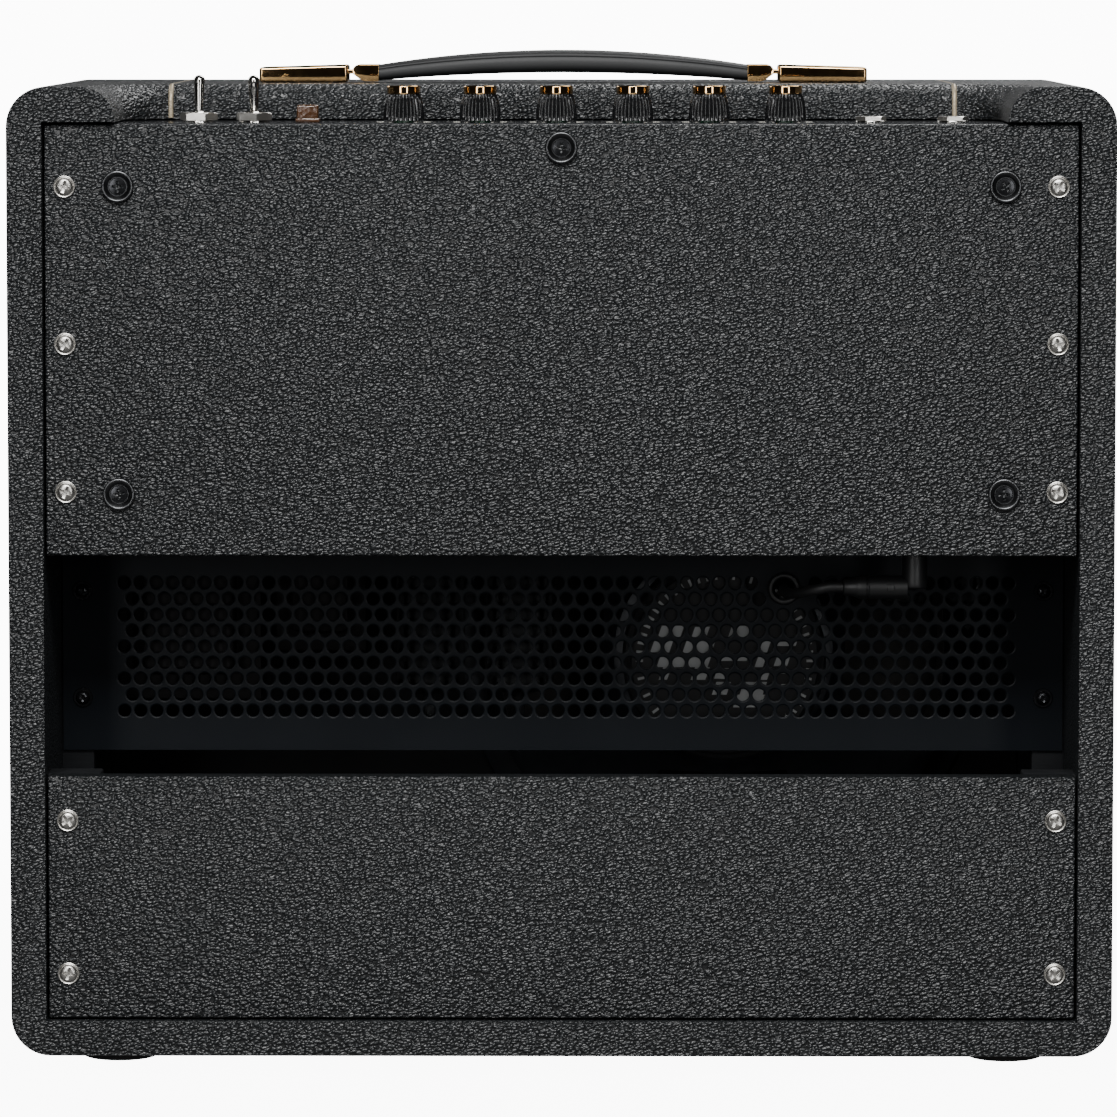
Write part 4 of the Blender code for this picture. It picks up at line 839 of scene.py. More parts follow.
def arc(centre, radius, start, end, steps):
    points = []
    for i in range(steps + 1):
        angle = math.radians(start + (end - start) * i / steps)
        points.append((centre[0] + radius * math.cos(angle), centre[1] + radius * math.sin(angle)))
    return points


def add_prism(bm, points, low, high, axis="Y"):
    """Give a flat outline thickness.  Along Y its points are (x, z), and along X (y, z)."""
    def spot(point, along):
        return (point[0], along, point[1]) if axis == "Y" else (along, point[0], point[1])
    near = [bm.verts.new(spot(point, low)) for point in points]
    far = [bm.verts.new(spot(point, high)) for point in points]
    faces = [bm.faces.new(near), bm.faces.new(list(reversed(far)))]
    for i in range(len(points)):
        j = (i + 1) % len(points)
        faces.append(bm.faces.new((near[i], far[i], far[j], near[j])))
    bmesh.ops.recalc_face_normals(bm, faces=faces)


def temporary(name, bm):
    mesh = bpy.data.meshes.new(name)
    bm.to_mesh(mesh)
    bm.free()
    return linked(name, mesh)


def carved(name, solid, cutters):
    """Cut shapes out of a solid and return the result as a plain mesh."""
    body = temporary(name, solid)
    tools = [temporary(f"{name}_tool", cutter) for cutter in cutters]
    for tool in tools:
        modifier = body.modifiers.new("cut", "BOOLEAN")
        modifier.operation = "DIFFERENCE"
        modifier.solver = "EXACT"
        modifier.object = tool
    mesh = plain_mesh(body)
    body.modifiers.clear()
    for obj in [body] + tools:
        bpy.data.objects.remove(obj)
    return mesh


def points_mesh(name, places):
    mesh = bpy.data.meshes.new(name)
    mesh.from_pydata([tuple(place) for place in places], [], [])
    return mesh


def copies(name, prototype, places, kind, slot, stands_for=(), turn_y=0.0, turn_z=0.0, seed=1):
    """One piece made of copies of a prototype mesh at the given places."""
    part = linked(name + "_one", prototype)
    mesh = scatter_tree().grow(name, points_mesh(name, places), part=part, seed=seed,
                               turn_about_y=turn_y, turn_about_z=turn_z, material=finish(kind))
    bpy.data.objects.remove(part)
    return piece(name, mesh, kind, stands_for=stands_for)


def tube(name, points, radius, closed=False, sides=4):
    """A round tube through points, as a mesh."""
    curve = bpy.data.curves.new(name, "CURVE")
    curve.dimensions = "3D"
    curve.bevel_depth = radius
    curve.bevel_resolution = sides
    curve.use_fill_caps = not closed
    spline = curve.splines.new("POLY")
    spline.points.add(len(points) - 1)
    for point, place in zip(spline.points, points):
        point.co = (*place, 1)
    spline.use_cyclic_u = closed
    obj = linked(name, curve)
    mesh = plain_mesh(obj)
    bpy.data.objects.remove(obj)
    bm = bmesh.new()
    bm.from_mesh(mesh)
    bmesh.ops.remove_doubles(bm, verts=bm.verts, dist=MELT)
    bmesh.ops.recalc_face_normals(bm, faces=bm.faces)
    bm.to_mesh(mesh)
    bm.free()
    mesh.shade_smooth()
    mesh.set_sharp_from_angle(angle=math.radians(50))
    return mesh


# --- cabinet ----------------------------------------------------------------------------------
def shell_outline(radius):
    points = []
    x = SHELL_HIGH.x - radius
    low, high = BOTTOM_Z + radius, TOP_Z - radius
    for centre, start in (((x, high), 0), ((-x, high), 90), ((-x, low), 180), ((x, low), 270)):
        points += arc(centre, radius, start, start + 90, 10)
    return points


def recess_tool(cabinet):
    """The control recess as one solid.  Its walls flare over a rounded edge, which is widest at
    the two ends, and its inner corners are round."""
    low, over, back = INNER_TOP - 0.001, TOP_Z + 0.010, REAR_Y + 0.010
    round_, lip, ear = cabinet.recess_corner, cabinet.lip_radius, cabinet.ear_radius
    x, y = RECESS_HALF, RECESS_FRONT_Y
    half = [(x, back, 1.0, 0.0)]
    half += [(x, y + round_ + step, 1.0, 0.0) for step in (0.030, 0.024, 0.018, 0.012, 0.006)]
    for across, along in arc((0, 0), 1.0, 0, -90, 14):
        half.append((x - round_ + round_ * across, y + round_ + round_ * along, across, along))
    half += [(x - round_ - step, y, 0.0, -1.0) for step in (0.005, 0.010, 0.016, 0.022, 0.030)]
    travelled, spans = 0.0, [0.0]
    for a, b in zip(half, half[1:]):
        travelled += math.dist(a[:2], b[:2])
        spans.append(travelled)
    start, length = spans[2], travelled - spans[2]
    path = []
    for (px, py, nx, ny), span in zip(half, spans):
        t = min(max((span - start) / length, 0.0), 1.0)
        path.append((px, py, nx, ny, ear + (lip - ear) * t * t * (3 - 2 * t)))
    path += [(-px, py, -nx, ny, radius) for px, py, nx, ny, radius in reversed(path)]
    bm = bmesh.new()
    columns = []
    for px, py, nx, ny, radius in path:
        rise = [(0.0, low)] + [(radius - a, TOP_Z - radius + b)
                               for a, b in arc((0, 0), radius, 0, 90, 8)] + [(radius, over)]
        columns.append([bm.verts.new((px + nx * out, py + ny * out, up)) for out, up in rise])
    for a, b in zip(columns, columns[1:]):
        for i in range(len(a) - 1):
            bm.faces.new((a[i], a[i + 1], b[i + 1], b[i]))
    bm.faces.new([column[0] for column in columns])
    bm.faces.new([column[-1] for column in reversed(columns)])
    bm.faces.new(list(reversed(columns[0])) + columns[-1])
    bmesh.ops.recalc_face_normals(bm, faces=bm.faces)
    return bm


def round_rims(mesh, radius):
    """Round the edges that lie in the cabinet's front and rear faces."""
    bm = bmesh.new()
    bm.from_mesh(mesh)
    bmesh.ops.remove_doubles(bm, verts=bm.verts, dist=0.00002)
    bmesh.ops.dissolve_limit(bm, angle_limit=math.radians(0.5), verts=bm.verts, edges=bm.edges)
    rims = [edge for edge in bm.edges if len(edge.link_faces) == 2
            and edge.calc_face_angle(0.0) > math.radians(60)
            and any(all(abs(vert.co.y - y) < 0.0001 for vert in edge.verts)
                    for y in (REAR_Y, FRONT_Y))]
    bmesh.ops.bevel(bm, geom=rims, offset=radius, segments=4, profile=0.5, affect="EDGES",
                    clamp_overlap=True)
    return bm


def inside_face(face):
    """True for a face of the cabinet's hollow, past its covered rim."""
    spot = face.calc_center_median()
    inwards = (abs(spot.x) < INNER_X + TINY and INNER_BOTTOM - TINY < spot.z < INNER_TOP + TINY)
    return inwards and abs(spot.y) < REAR_Y - 0.004 and abs(face.normal.y) < 0.5


def make_cabinet():
    cabinet = settings("cabinet")
    solid, hollow = bmesh.new(), bmesh.new()
    add_prism(solid, shell_outline(cabinet.corner_radius), FRONT_Y, REAR_Y)
    add_block(hollow, (-INNER_X, FRONT_Y - 0.01, INNER_BOTTOM), (INNER_X, REAR_Y + 0.01, INNER_TOP))
    mesh = carved("cabinet_covering", solid, [hollow, recess_tool(cabinet)])
    bm = round_rims(mesh, cabinet.rim_radius)
    for face in bm.faces:
        face.material_index = 1 if inside_face(face) else 0
    mesh = to_mesh(bm, "cabinet_covering", 40.0)
    piece("cabinet_covering", mesh, ("vinyl", "paint"),
          stands_for=("cabinet_shell",))
    make_battens()
    make_panels(cabinet)
    make_piping(cabinet)


def make_battens():
    """Painted strips inside the cabinet that the panels, guard and baffle are fixed to."""
    bm = bmesh.new()
    rear = UPPER_LOW.y - TINY
    front = rear - BATTEN_DEPTH
    behind = BAFFLE_REAR_Y + TINY
    guard = GUARD_FACE_Y - GUARD_SHEET - TINY
    for sign in (1, -1):
        inner, outer = sign * (INNER_X - BATTEN_WIDTH), sign * (INNER_X + TINY)
        spans = [(inner, front, UPPER_LOW.z + 0.001, rear, INNER_TOP),
                 (inner, front, INNER_BOTTOM, rear, LOWER_HIGH.z),
                 (sign * (INNER_X - GUARD_BATTEN), guard - GUARD_BATTEN, GUARD_LOW.z - 0.010,
                  guard, GUARD_HIGH.z - 0.002),
                 (sign * (INNER_X - FRONT_BATTEN), behind, INNER_BOTTOM,
                  behind + FRONT_BATTEN, INNER_TOP)]
        for x, y0, z0, y1, z1 in spans:
            add_block(bm, (min(x, outer), y0, z0), (max(x, outer), y1, z1), 0.0008, 2)
    for z0 in (INNER_BOTTOM, INNER_TOP - FRONT_BATTEN):
        z1 = z0 + FRONT_BATTEN
        add_block(bm, (-INNER_X, behind + TINY, z0), (INNER_X, behind + FRONT_BATTEN - TINY, z1),
                  0.0008, 2)
    piece("battens", to_mesh(bm, "battens"), "paint")


def make_panels(cabinet):
    for node in ("upper_back_panel", "lower_back_panel"):
        low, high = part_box(node)
        bm = bmesh.new()
        add_block(bm, low, high, cabinet.panel_rounding, 4)
        piece(node.replace("_back_panel", "_panel_covering"), to_mesh(bm, node), "vinyl",
              stands_for=(node,))


def make_piping(cabinet):
    """Gold piping up the recess wall, over the lip and forwards across the top board."""
    radius, lip = cabinet.piping_radius, cabinet.lip_radius
    bm = bmesh.new()
    for sign in (1, -1):
        x = sign * (RECESS_HALF - cabinet.piping_inset)
        y = RECESS_FRONT_Y - lip
        path = [(x, RECESS_FRONT_Y + radius * 0.3, CONTROL_FACE + radius)]
        for step, (across, up) in enumerate(arc((y, TOP_Z - lip), lip, 0, 90, 12)):
            sink = radius * (0.3 - 1.2 * step / 12)
            angle = math.pi / 2 * step / 12
            path.append((x, across + sink * math.cos(angle), up + sink * math.sin(angle)))
        rim = cabinet.rim_radius
        path += [(x, across, up) for across, up in
                 arc((FRONT_Y + rim, TOP_Z - rim), rim - radius * 0.9, 90, 180, 6)]
        path += [(x, FRONT_Y + radius * 0.9, INNER_TOP + 0.001)]
        mesh = tube("piping", path, radius, sides=3)
        bm.from_mesh(mesh)
    piece("gold_piping", to_mesh(bm, "gold_piping", 60.0), "piping")


# --- screws -----------------------------------------------------------------------------------
def driven_head(name, profile, top, width=0.0011, length=0.0052, depth=0.0014):
    """A turned screw head facing +Y, with the cross cut into it that a driver fits."""
    head = bmesh.new()
    add_turned(head, profile, (0, 0, 0), "+Y", 40)
    tools = []
    for turn in (0, 90):
        tool = bmesh.new()
        outline = [(-length / 2, top + 0.001), (length / 2, top + 0.001),
                   (length / 2, top - depth * 0.5), (width * 0.7, top - depth),
                   (-width * 0.7, top - depth), (-length / 2, top - depth * 0.5)]
        spin = Matrix.Rotation(math.radians(turn), 4, "Y")
        near = [tool.verts.new((x, y, -width / 2)) for x, y in outline]
        far = [tool.verts.new((x, y, width / 2)) for x, y in outline]
        tool.faces.new(near)
        tool.faces.new(list(reversed(far)))
        for i in range(len(outline)):
            j = (i + 1) % len(outline)
            tool.faces.new((near[i], far[i], far[j], near[j]))
        bmesh.ops.transform(tool, matrix=spin, verts=tool.verts)
        bmesh.ops.recalc_face_normals(tool, faces=tool.faces)
        tools.append(tool)
    mesh = carved(name, head, tools)
    mesh.shade_smooth()
    mesh.set_sharp_from_angle(angle=math.radians(30))
    return mesh


def pan_head():
    """A domed head with a flange round it."""
    flange, radius, height = 0.0050, 0.0040, 0.0022
    profile = [(0, height), (radius * 0.55, height - 0.0001), (radius * 0.78, height - 0.0004),
               (radius * 0.93, height - 0.0009), (radius, height - 0.0014)]
    profile += [(radius + 0.0001, 0.0007), (radius + 0.0003, 0.0006), (flange - 0.0003, 0.0008),
                (flange - 0.0001, 0.0007), (flange, 0.0005), (flange, 0.0), (0.0018, 0.0),
                (0.0018, -0.010), (0, -0.010)]
    return driven_head("pan_head", profile, height, 0.0013, 0.0058, 0.0016)


def sunk_head():
    """A flat head below the mouth of its cup."""
    radius, top = 0.0040, 0.0003
    profile = [(0, top + 0.0003), (radius * 0.6, top + 0.0002), (radius * 0.93, top),
               (radius, top - 0.0003), (radius * 0.6, -0.0022), (0.0018, -0.0022),
               (0.0018, -0.008), (0, -0.008)]
    return driven_head("sunk_head", profile, top + 0.0003, 0.0013, 0.0052, 0.0016)


def cup_ring():
    """A cup washer: a rolled rim, and a cone that leads down to the screw's head."""
    outer, roll, height = 0.0073, 0.0008, 0.0020
    bm = bmesh.new()
    profile = arc((outer - roll, height - roll), roll, 130, -30, 8)
    profile += [(outer, 0.0), (0.0030, 0.0), (0.0030, -0.0009), (0.0041, -0.0006),
                (0.0044, 0.0001), (0.0052, height * 0.55)]
    profile += profile[:1]
    add_turned(bm, profile, (0, 0, 0), "+Y", 48)
    bmesh.ops.remove_doubles(bm, verts=bm.verts, dist=MELT)
    return to_mesh(bm, "cup_ring", 50.0)


def make_screws():
    nodes = sorted(frame["nodes"])
    pans = [node for node in nodes if node.startswith("screw_")]
    cups = [node for node in nodes if node.startswith("chassis_screw_")]
    face = UPPER_HIGH.y + TINY
    places = [(middle(node).x, face, middle(node).z) for node in pans]
    copies("panel_screws", pan_head(), places, "screw", "nickel_screw", pans, turn_y=1.0, seed=4)
    places = [(middle(node).x, face, middle(node).z) for node in cups]
    copies("cup_washers", cup_ring(), places, "cup", "black_steel", cups)
    copies("cup_screws", sunk_head(), places, "dark_screw", "black_steel", turn_y=1.0, seed=9)


# --- controls ---------------------------------------------------------------------------------
def make_knobs():
    controls = settings("controls")
    flutes = fluted_tree()
    number = 1
    while f"knob_{number}" in frame["nodes"]:
        node = f"knob_{number}"
        low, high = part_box(node)
        centre = (low + high) / 2
        base = CONTROL_FACE + 0.0008
        radius = (high.x - low.x) / 2
        top = radius * 0.80
        cap = controls.cap_height
        skirt_top = high.z - base - cap
        skirt = flutes.grow("skirt", bottom_radius=radius, top_radius=top, height=skirt_top,
                            flute_depth=controls.flute_depth, flutes=float(controls.flutes),
                            material=finish("knob"))
        bm = bmesh.new()
        bm.from_mesh(skirt)
        bmesh.ops.translate(bm, verts=bm.verts, vec=(centre.x, centre.y, base))
        hub = [(0, skirt_top - 0.0002), (top - 0.0004, skirt_top - 0.0002),
               (top - 0.0008, skirt_top - 0.0012), (radius - 0.0012, 0.0004),
               (radius - 0.0010, 0.0), (0.0054, 0.0), (0.0054, 0.0045), (0.0030, 0.0045),
               (0.0030, -0.010), (0, -0.010)]
        add_turned(bm, hub, (centre.x, centre.y, base), "+Z", 48)
        piece(f"{node}_skirt", to_mesh(bm, f"{node}_skirt", 45.0), "knob",
              node, (node,))
        rim = bmesh.new()
        edge = 0.0005
        turned_cap = [(0, cap - 0.0005), (top * 0.70, cap - 0.0005), (top * 0.74, cap - 0.0001)]
        turned_cap += [(top - edge + a, cap - edge + b) for a, b in arc((0, 0), edge, 90, 0, 4)]
        turned_cap += [(top, cap - edge - 0.0002), (top, edge + 0.0002), (top, edge),
                       (top - 0.0003, 0.0), (0, 0.0)]
        add_turned(rim, turned_cap, (centre.x, centre.y, base + skirt_top), "+Z", 64)
        piece(f"{node}_cap", to_mesh(rim, f"{node}_cap"), "gold", node)
        line = bmesh.new()
        x, y, z = centre.x, centre.y, base + skirt_top + cap
        add_block(line, (x - 0.0004, y - top * 0.68, z - 0.0006),
                  (x + 0.0004, y - top * 0.18, z - 0.0002))
        piece(f"{node}_pointer", to_mesh(line, f"{node}_pointer"), "knob", node)
        number += 1


def hex_nut(width, height, hole):
    """A six-sided nut with its corners turned down, standing on the origin."""
    bm = bmesh.new()
    steps = 72
    side = [(math.tau * i / steps + math.pi / 6) % (math.pi / 3) - math.pi / 6
            for i in range(steps)]
    flats = [width / 2 / math.cos(angle) for angle in side]
    rounded = [min(flat, width / 2 * 1.015) for flat in flats]
    lowered = [height - (flat - inner) * 0.55 for flat, inner in zip(flats, rounded)]
    loops = [(flats, [0.0] * steps), (flats, lowered), (rounded, [height] * steps),
             ([hole + 0.0004] * steps, [height] * steps),
             ([hole] * steps, [height - 0.0004] * steps), ([hole] * steps, [0.0] * steps)]
    rings = [[bm.verts.new((reach * math.cos(math.tau * i / steps),
                            reach * math.sin(math.tau * i / steps), up))
              for i, (reach, up) in enumerate(zip(reaches, heights))]
             for reaches, heights in loops]
    rings.append(rings[0])
    for lower, upper in zip(rings, rings[1:]):
        for i in range(steps):
            j = (i + 1) % steps
            bm.faces.new((lower[i], lower[j], upper[j], upper[i]))
    bmesh.ops.remove_doubles(bm, verts=bm.verts, dist=0.000002)
    bmesh.ops.recalc_face_normals(bm, faces=bm.faces)
    return to_mesh(bm, "hex_nut", 22.0)


def washer_mesh(inner, outer, height):
    bm = bmesh.new()
    edge = height * 0.3
    profile = [(inner, height), (outer - edge, height), (outer, height - edge), (outer, 0.0),
               (inner, 0.0), (inner, height)]
    add_turned(bm, profile, (0, 0, 0), "+Z", 48)
    bmesh.ops.remove_doubles(bm, verts=bm.verts, dist=MELT)
    return to_mesh(bm, "washer", 50.0)


def make_switches():
    controls = settings("controls")
    places = []
    for number in (1, 2):
        body = f"switch_body_{number}"
        node = f"switch_lever_{number}"
        x = middle(body).x
        places.append((x, CONTROL_Y, CONTROL_FACE + TINY))
        joint = next(j for j in frame["joints"] if j["child"] == node)
        pivot = Vector(joint["pos_m"])
        low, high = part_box(node)
        tip_y = high.y if high.y - pivot.y > pivot.y - low.y else low.y
        tip = 0.0027
        reach = high.z - pivot.z
        lean_angle = math.atan2(tip_y - pivot.y - math.copysign(tip, tip_y - pivot.y), reach - tip)
        length = (reach - tip) / math.cos(lean_angle) + tip
        lean = Matrix.Rotation(-lean_angle, 4, "X")
        profile = [(0, length)]
        profile += [(a, length - tip + b) for a, b in arc((0, 0), tip, 82, -28, 9)]
        profile += [(tip * 0.92, length - tip * 2.2), (0.0020, length * 0.34), (0.0018, 0.0026)]
        profile += [(0.0026 * math.sin(a), 0.0026 * math.cos(a)) for a in (0.7, 1.1, 1.6, 2.1, 2.6)]
        profile += [(0, -0.0026)]
        bm = bmesh.new()
        add_turned(bm, profile, pivot, "+Z", 32, lean)
        piece(f"{node}_bat", to_mesh(bm, node), "nickel", node, (node,))
        dress(body, "nickel")
    copies("switch_washers", washer_mesh(0.0047, 0.0072, 0.0006), places, "nickel",
           "bright_nickel")
    raised = [(x, y, z + 0.0007) for x, y, z in places]
    copies("switch_nuts", hex_nut(controls.nut_width, controls.nut_height, 0.0047), raised,
           "nut", "bright_nickel", turn_z=1.0, seed=3)


def make_jack_nuts():
    controls = settings("controls")
    low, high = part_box("input_jacks")
    reach = 0.008
    top = CONTROL_FACE + TINY
    places = [(x, CONTROL_Y, top) for x in (low.x + reach, high.x - reach)]
    copies("jack_washers", washer_mesh(0.0051, 0.0074, 0.0005), places, "nickel", "bright_nickel")
    raised = [(x, y, z + 0.0006) for x, y, z in places]
    nut = hex_nut(controls.nut_width * 0.82, 0.0019, 0.0050)
    copies("jack_nuts", nut, raised, "nut", "bright_nickel", turn_z=1.0, seed=12)
    collar = washer_mesh(0.0034, 0.00495, 0.0006)
    rims = [(x, y, high.z - 0.0004) for x, y, _ in places]
    copies("jack_collars", collar, rims, "nickel", "bright_nickel")


def make_lamp():
    low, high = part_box("pilot_lamp")
    x = (low.x + high.x) / 2
    half = (high.x - low.x) / 2
    base = CONTROL_FACE + TINY
    lens = bmesh.new()
    add_block(lens, (x - half + 0.0006, CONTROL_Y - half + 0.0006, base + 0.0010),
              (x + half - 0.0006, CONTROL_Y + half - 0.0006, high.z - 0.0012), 0.0010, 4)
    piece("lamp_lens", to_mesh(lens, "lamp_lens"), "amber",
          stands_for=("pilot_lamp",))
    bezel = bmesh.new()
    add_block(bezel, (x - half, CONTROL_Y - half, base),
              (x + half, CONTROL_Y + half, base + 0.0016), 0.0004, 2)
    add_turned(bezel, [(0, 0.0), (0.0040, 0.0), (0.0040, -0.016), (0, -0.016)],
               (x, CONTROL_Y, base + 0.0006), "+Z", 24)
    piece("lamp_bezel", to_mesh(bezel, "lamp_bezel"), "amber")


def make_dials():
    """Marks and numbers printed round the knobs, read by someone behind the amplifier."""
    controls = settings("controls")
    knobs = [middle(node) for node in sorted(frame["nodes"]) if node.startswith("knob_")]
    spots = [(place.x, CONTROL_Y, CONTROL_FACE + 0.00012) for place in knobs]
    sweep = math.radians(300.0)
    marks = dial_tree().grow("marks", points_mesh("marks", spots), marks=controls.marks,
                             radius=0.0114, sweep=sweep, length=0.0016, width=0.00035,
                             material=finish("dial"))
    bm = bmesh.new()
    bm.from_mesh(marks)
    for spot in spots:
        for number in range(controls.marks):
            angle = (number / (controls.marks - 1) - 0.5) * sweep
            letters = bpy.data.curves.new("number", "FONT")
            letters.body = str(number)
            letters.size = 0.0026
            letters.align_x = "CENTER"
            letters.align_y = "CENTER"
            holder = linked("number", letters)
            flat = plain_mesh(holder)
            bpy.data.objects.remove(holder)
            at = Vector(spot) + Vector((-math.sin(angle) * 0.0144, -math.cos(angle) * 0.0144, 0))
            flat.transform(Matrix.Translation(at) @ Matrix.Rotation(math.pi, 4, "Z"))
            bm.from_mesh(flat)
    piece("dial_print", to_mesh(bm, "dial_print"), "dial")


def make_control_panel():
    dress("control_panel", "enamel")
    dress("control_board", "board")
    dress("input_jacks", "plug")


# --- handle -----------------------------------------------------------------------------------
def make_strap(handle):
    """A moulded strap: full in the middle, thinner at its ends, with a groove along each side."""
    low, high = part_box("handle_strap")
    half = (high.x - low.x) / 2
    width = high.y - low.y
    centre_y = (low.y + high.y) / 2
    lift, end_thick = 0.0038, 0.0074
    full = high.z - low.z - lift
    columns, sides = 72, 56
    bm = bmesh.new()
    rings = []
    for i in range(columns + 1):
        share = 2 * i / columns - 1
        arch = 1.0 - share * share
        thick = end_thick + (full - end_thick) * arch
        span = width * (0.80 + 0.20 * min(arch * 1.6, 1.0))
        base = low.z + lift * arch
        ring = []
        for j in range(sides):
            angle = math.tau * j / sides
            c, s = math.cos(angle), math.sin(angle)
            up = math.copysign(abs(s) ** 0.62, s)
            groove = math.exp(-((up - 0.36) / 0.10) ** 2) * handle.groove
            y = math.copysign(abs(c) ** 0.40, c) * (span / 2 - groove)
            ring.append(bm.verts.new((half * share, centre_y + y, base + thick / 2 * (1 + up))))
        rings.append(ring)
    for a, b in zip(rings, rings[1:]):
        for j in range(sides):
            k = (j + 1) % sides
            bm.faces.new((a[j], a[k], b[k], b[j]))
    bm.faces.new(list(reversed(rings[0])))
    bm.faces.new(rings[-1])
    bmesh.ops.recalc_face_normals(bm, faces=bm.faces)
    piece("carry_strap", to_mesh(bm, "carry_strap", 60.0), "strap",
          "carry_handle", ("handle_strap",))


def ferrule_outline(sign, strap_end, length, low, high):
    """Side view of a ferrule: a sleeve at the strap, drawn in to the tongue at its other end."""
    tall = high - low
    points = [(0.0, 0.0), (length * 0.52, 0.0), (length * 0.70, tall * 0.10),
              (length * 0.86, tall * 0.30), (length, tall * 0.46), (length, tall * 0.74)]
    points += [(length - 0.0030 + a, tall - 0.0030 + b) for a, b in arc((0, 0), 0.0030, 20, 90, 6)]
    points += [(0.0, tall)]
    return [(strap_end + sign * along, low + up) for along, up in points]


def make_handle():
    handle = settings("handle")
    make_strap(handle)
    strap_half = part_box("handle_strap")[1].x
    for side, sign in (("left", 1), ("right", -1)):
        cap_low, cap_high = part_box(f"handle_cap_{side}")
        mouth = cap_low.x if sign > 0 else cap_high.x
        low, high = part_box(f"handle_end_{side}")
        centre_y = (low.y + high.y) / 2
        start = sign * (strap_half - 0.0006)
        length = abs(mouth - start) - 0.0022
        bm = bmesh.new()
        add_prism(bm, ferrule_outline(sign, start, length, low.z, high.z), low.y, high.y)
        soft = [edge for edge in bm.edges if edge.calc_face_angle(0.0) > math.radians(50)]
        bmesh.ops.bevel(bm, geom=soft, offset=0.0009, segments=3, profile=0.5, affect="EDGES",
                        clamp_overlap=True)
        z = (low.z + high.z) / 2 + 0.0006
        x0, x1 = sorted((start + sign * (length - 0.001), high.x if sign > 0 else low.x))
        add_block(bm, (x0, centre_y - 0.008, z - 0.0010), (x1, centre_y + 0.008, z + 0.0010),
                  0.0003, 2)
        for along in (0.0016, 0.0030):
            ring = start + sign * along
            add_block(bm, (ring - 0.0004, low.y + 0.0008, high.z - 0.0006),
                      (ring + 0.0004, high.y - 0.0008, high.z), 0.0003, 2)
        piece(f"strap_ferrule_{side}", to_mesh(bm, f"ferrule_{side}"), "gold",
              "carry_handle", (f"handle_end_{side}",))
        solid, hollow = bmesh.new(), bmesh.new()
        add_block(solid, cap_low, cap_high, handle.cap_rounding, 5)
        for vert in solid.verts:
            if vert.co.z > (cap_low.z + cap_high.z) / 2:
                vert.co.z -= handle.cap_fall * abs(vert.co.x - mouth) / (cap_high.x - cap_low.x)
        x0, x1 = sorted((mouth - sign * 0.004, mouth + sign * 0.032))
        add_block(hollow, (x0, cap_low.y + 0.0022, cap_low.z + 0.0014),
                  (x1, cap_high.y - 0.0022, cap_high.z - 0.0022))
        mesh = carved(f"cap_{side}", solid, [hollow])
        mesh.shade_smooth()
        mesh.set_sharp_from_angle(angle=math.radians(35))
        piece(f"strap_cap_{side}", mesh, "gold", stands_for=(f"handle_cap_{side}",))


# --- guard ------------------------------------------------------------------------------------
def guard_screw():
    """A truss-head screw on a plain washer, facing +Y."""
    head = [(0, 0.0026), (0.0014, 0.0025), (0.0024, 0.0021), (0.0031, 0.0014), (0.0033, 0.0007),
            (0.0043, 0.0007), (0.0046, 0.0004), (0.0046, 0.0), (0, 0.0)]
    return driven_head("guard_screw", head, 0.0025, 0.0010, 0.0036, 0.0011)


def hole_rim(radius, soft, sheet):
    """The coated edge of one perforation: a ring, rounded on the side that is seen."""
    profile = [(radius, 0.00040), (radius + soft * 0.12, 0.00026),
               (radius + soft * 0.88, 0.00002), (radius + soft, 0.0),
               (radius + soft, sheet), (radius, sheet), (radius, 0.00040)]
    bm = bmesh.new()
    add_turned(bm, profile, (0, 0, 0), "+Z", 18)
    bmesh.ops.remove_doubles(bm, verts=bm.verts, dist=0.000005)
    bmesh.ops.recalc_face_normals(bm, faces=bm.faces)
    return temporary("hole_rim", bm)


def make_guard():
    guard = settings("guard")
    rim = hole_rim(guard.hole_radius, HOLE_RIM, GUARD_SHEET)
    width, height = GUARD_HIGH.x - GUARD_LOW.x, GUARD_HIGH.z - GUARD_LOW.z
    hole = LEAD_HOLE
    centre_z = (GUARD_LOW.z + GUARD_HIGH.z) / 2
    top = GUARD_HIGH.z - guard.field_drop - centre_z
    mesh = perforated_tree().grow(
        "guard", width=width, height=height, sheet=GUARD_SHEET, pitch=guard.pitch,
        hole_radius=guard.hole_radius + HOLE_RIM, field_shift=guard.field_shift, field_top=top,
        cable_x=hole.x, cable_z=hole.z - centre_z, cable_radius=0.0060, margin=0.0062,
        columns=guard.columns, rows=guard.rows, rim=rim, material=finish("powder"))
    bpy.data.objects.remove(rim)
    bm = bmesh.new()
    bm.from_mesh(mesh)
    bmesh.ops.translate(bm, verts=bm.verts, vec=(0, GUARD_FACE_Y, centre_z))
    for face in bm.faces:
        # Faces not flat to the sheet take the pale metallic rim coat, a painted highlight round each hole.
        face.material_index = int(abs(face.normal.y) < 0.9995)
    add_fold(bm)
    piece("perforated_guard", to_mesh(bm, "perforated_guard", 25.0), ("powder", "edge"),
          stands_for=("guard_plate",))
    screws = [(sign * (INNER_X - 0.0100), GUARD_FACE_Y + TINY, GUARD_LOW.z + up)
              for sign in (1, -1) for up in (0.0247, 0.0747)]
    copies("guard_screws", guard_screw(), screws, "dark_screw", "black_steel", turn_y=1.0, seed=7)
    ring = bmesh.new()
    profile = [(0.0044 + a, 0.0011 + b) for a, b in arc((0.0018, 0), 0.0014, 180, -60, 8)]
    profile += [(0.0060, -0.0001), (0.0060, -0.0018), (0.0078, -0.0019), (0.0076, -0.0030),
                (0.0044, -0.0030), (0.0044, 0.0011)]
    add_turned(ring, profile, (hole.x, GUARD_FACE_Y + 0.0003, hole.z), "+Y", 40)
    bmesh.ops.remove_doubles(ring, verts=ring.verts, dist=MELT)
    piece("cable_grommet", to_mesh(ring, "cable_grommet", 60.0), "lead")


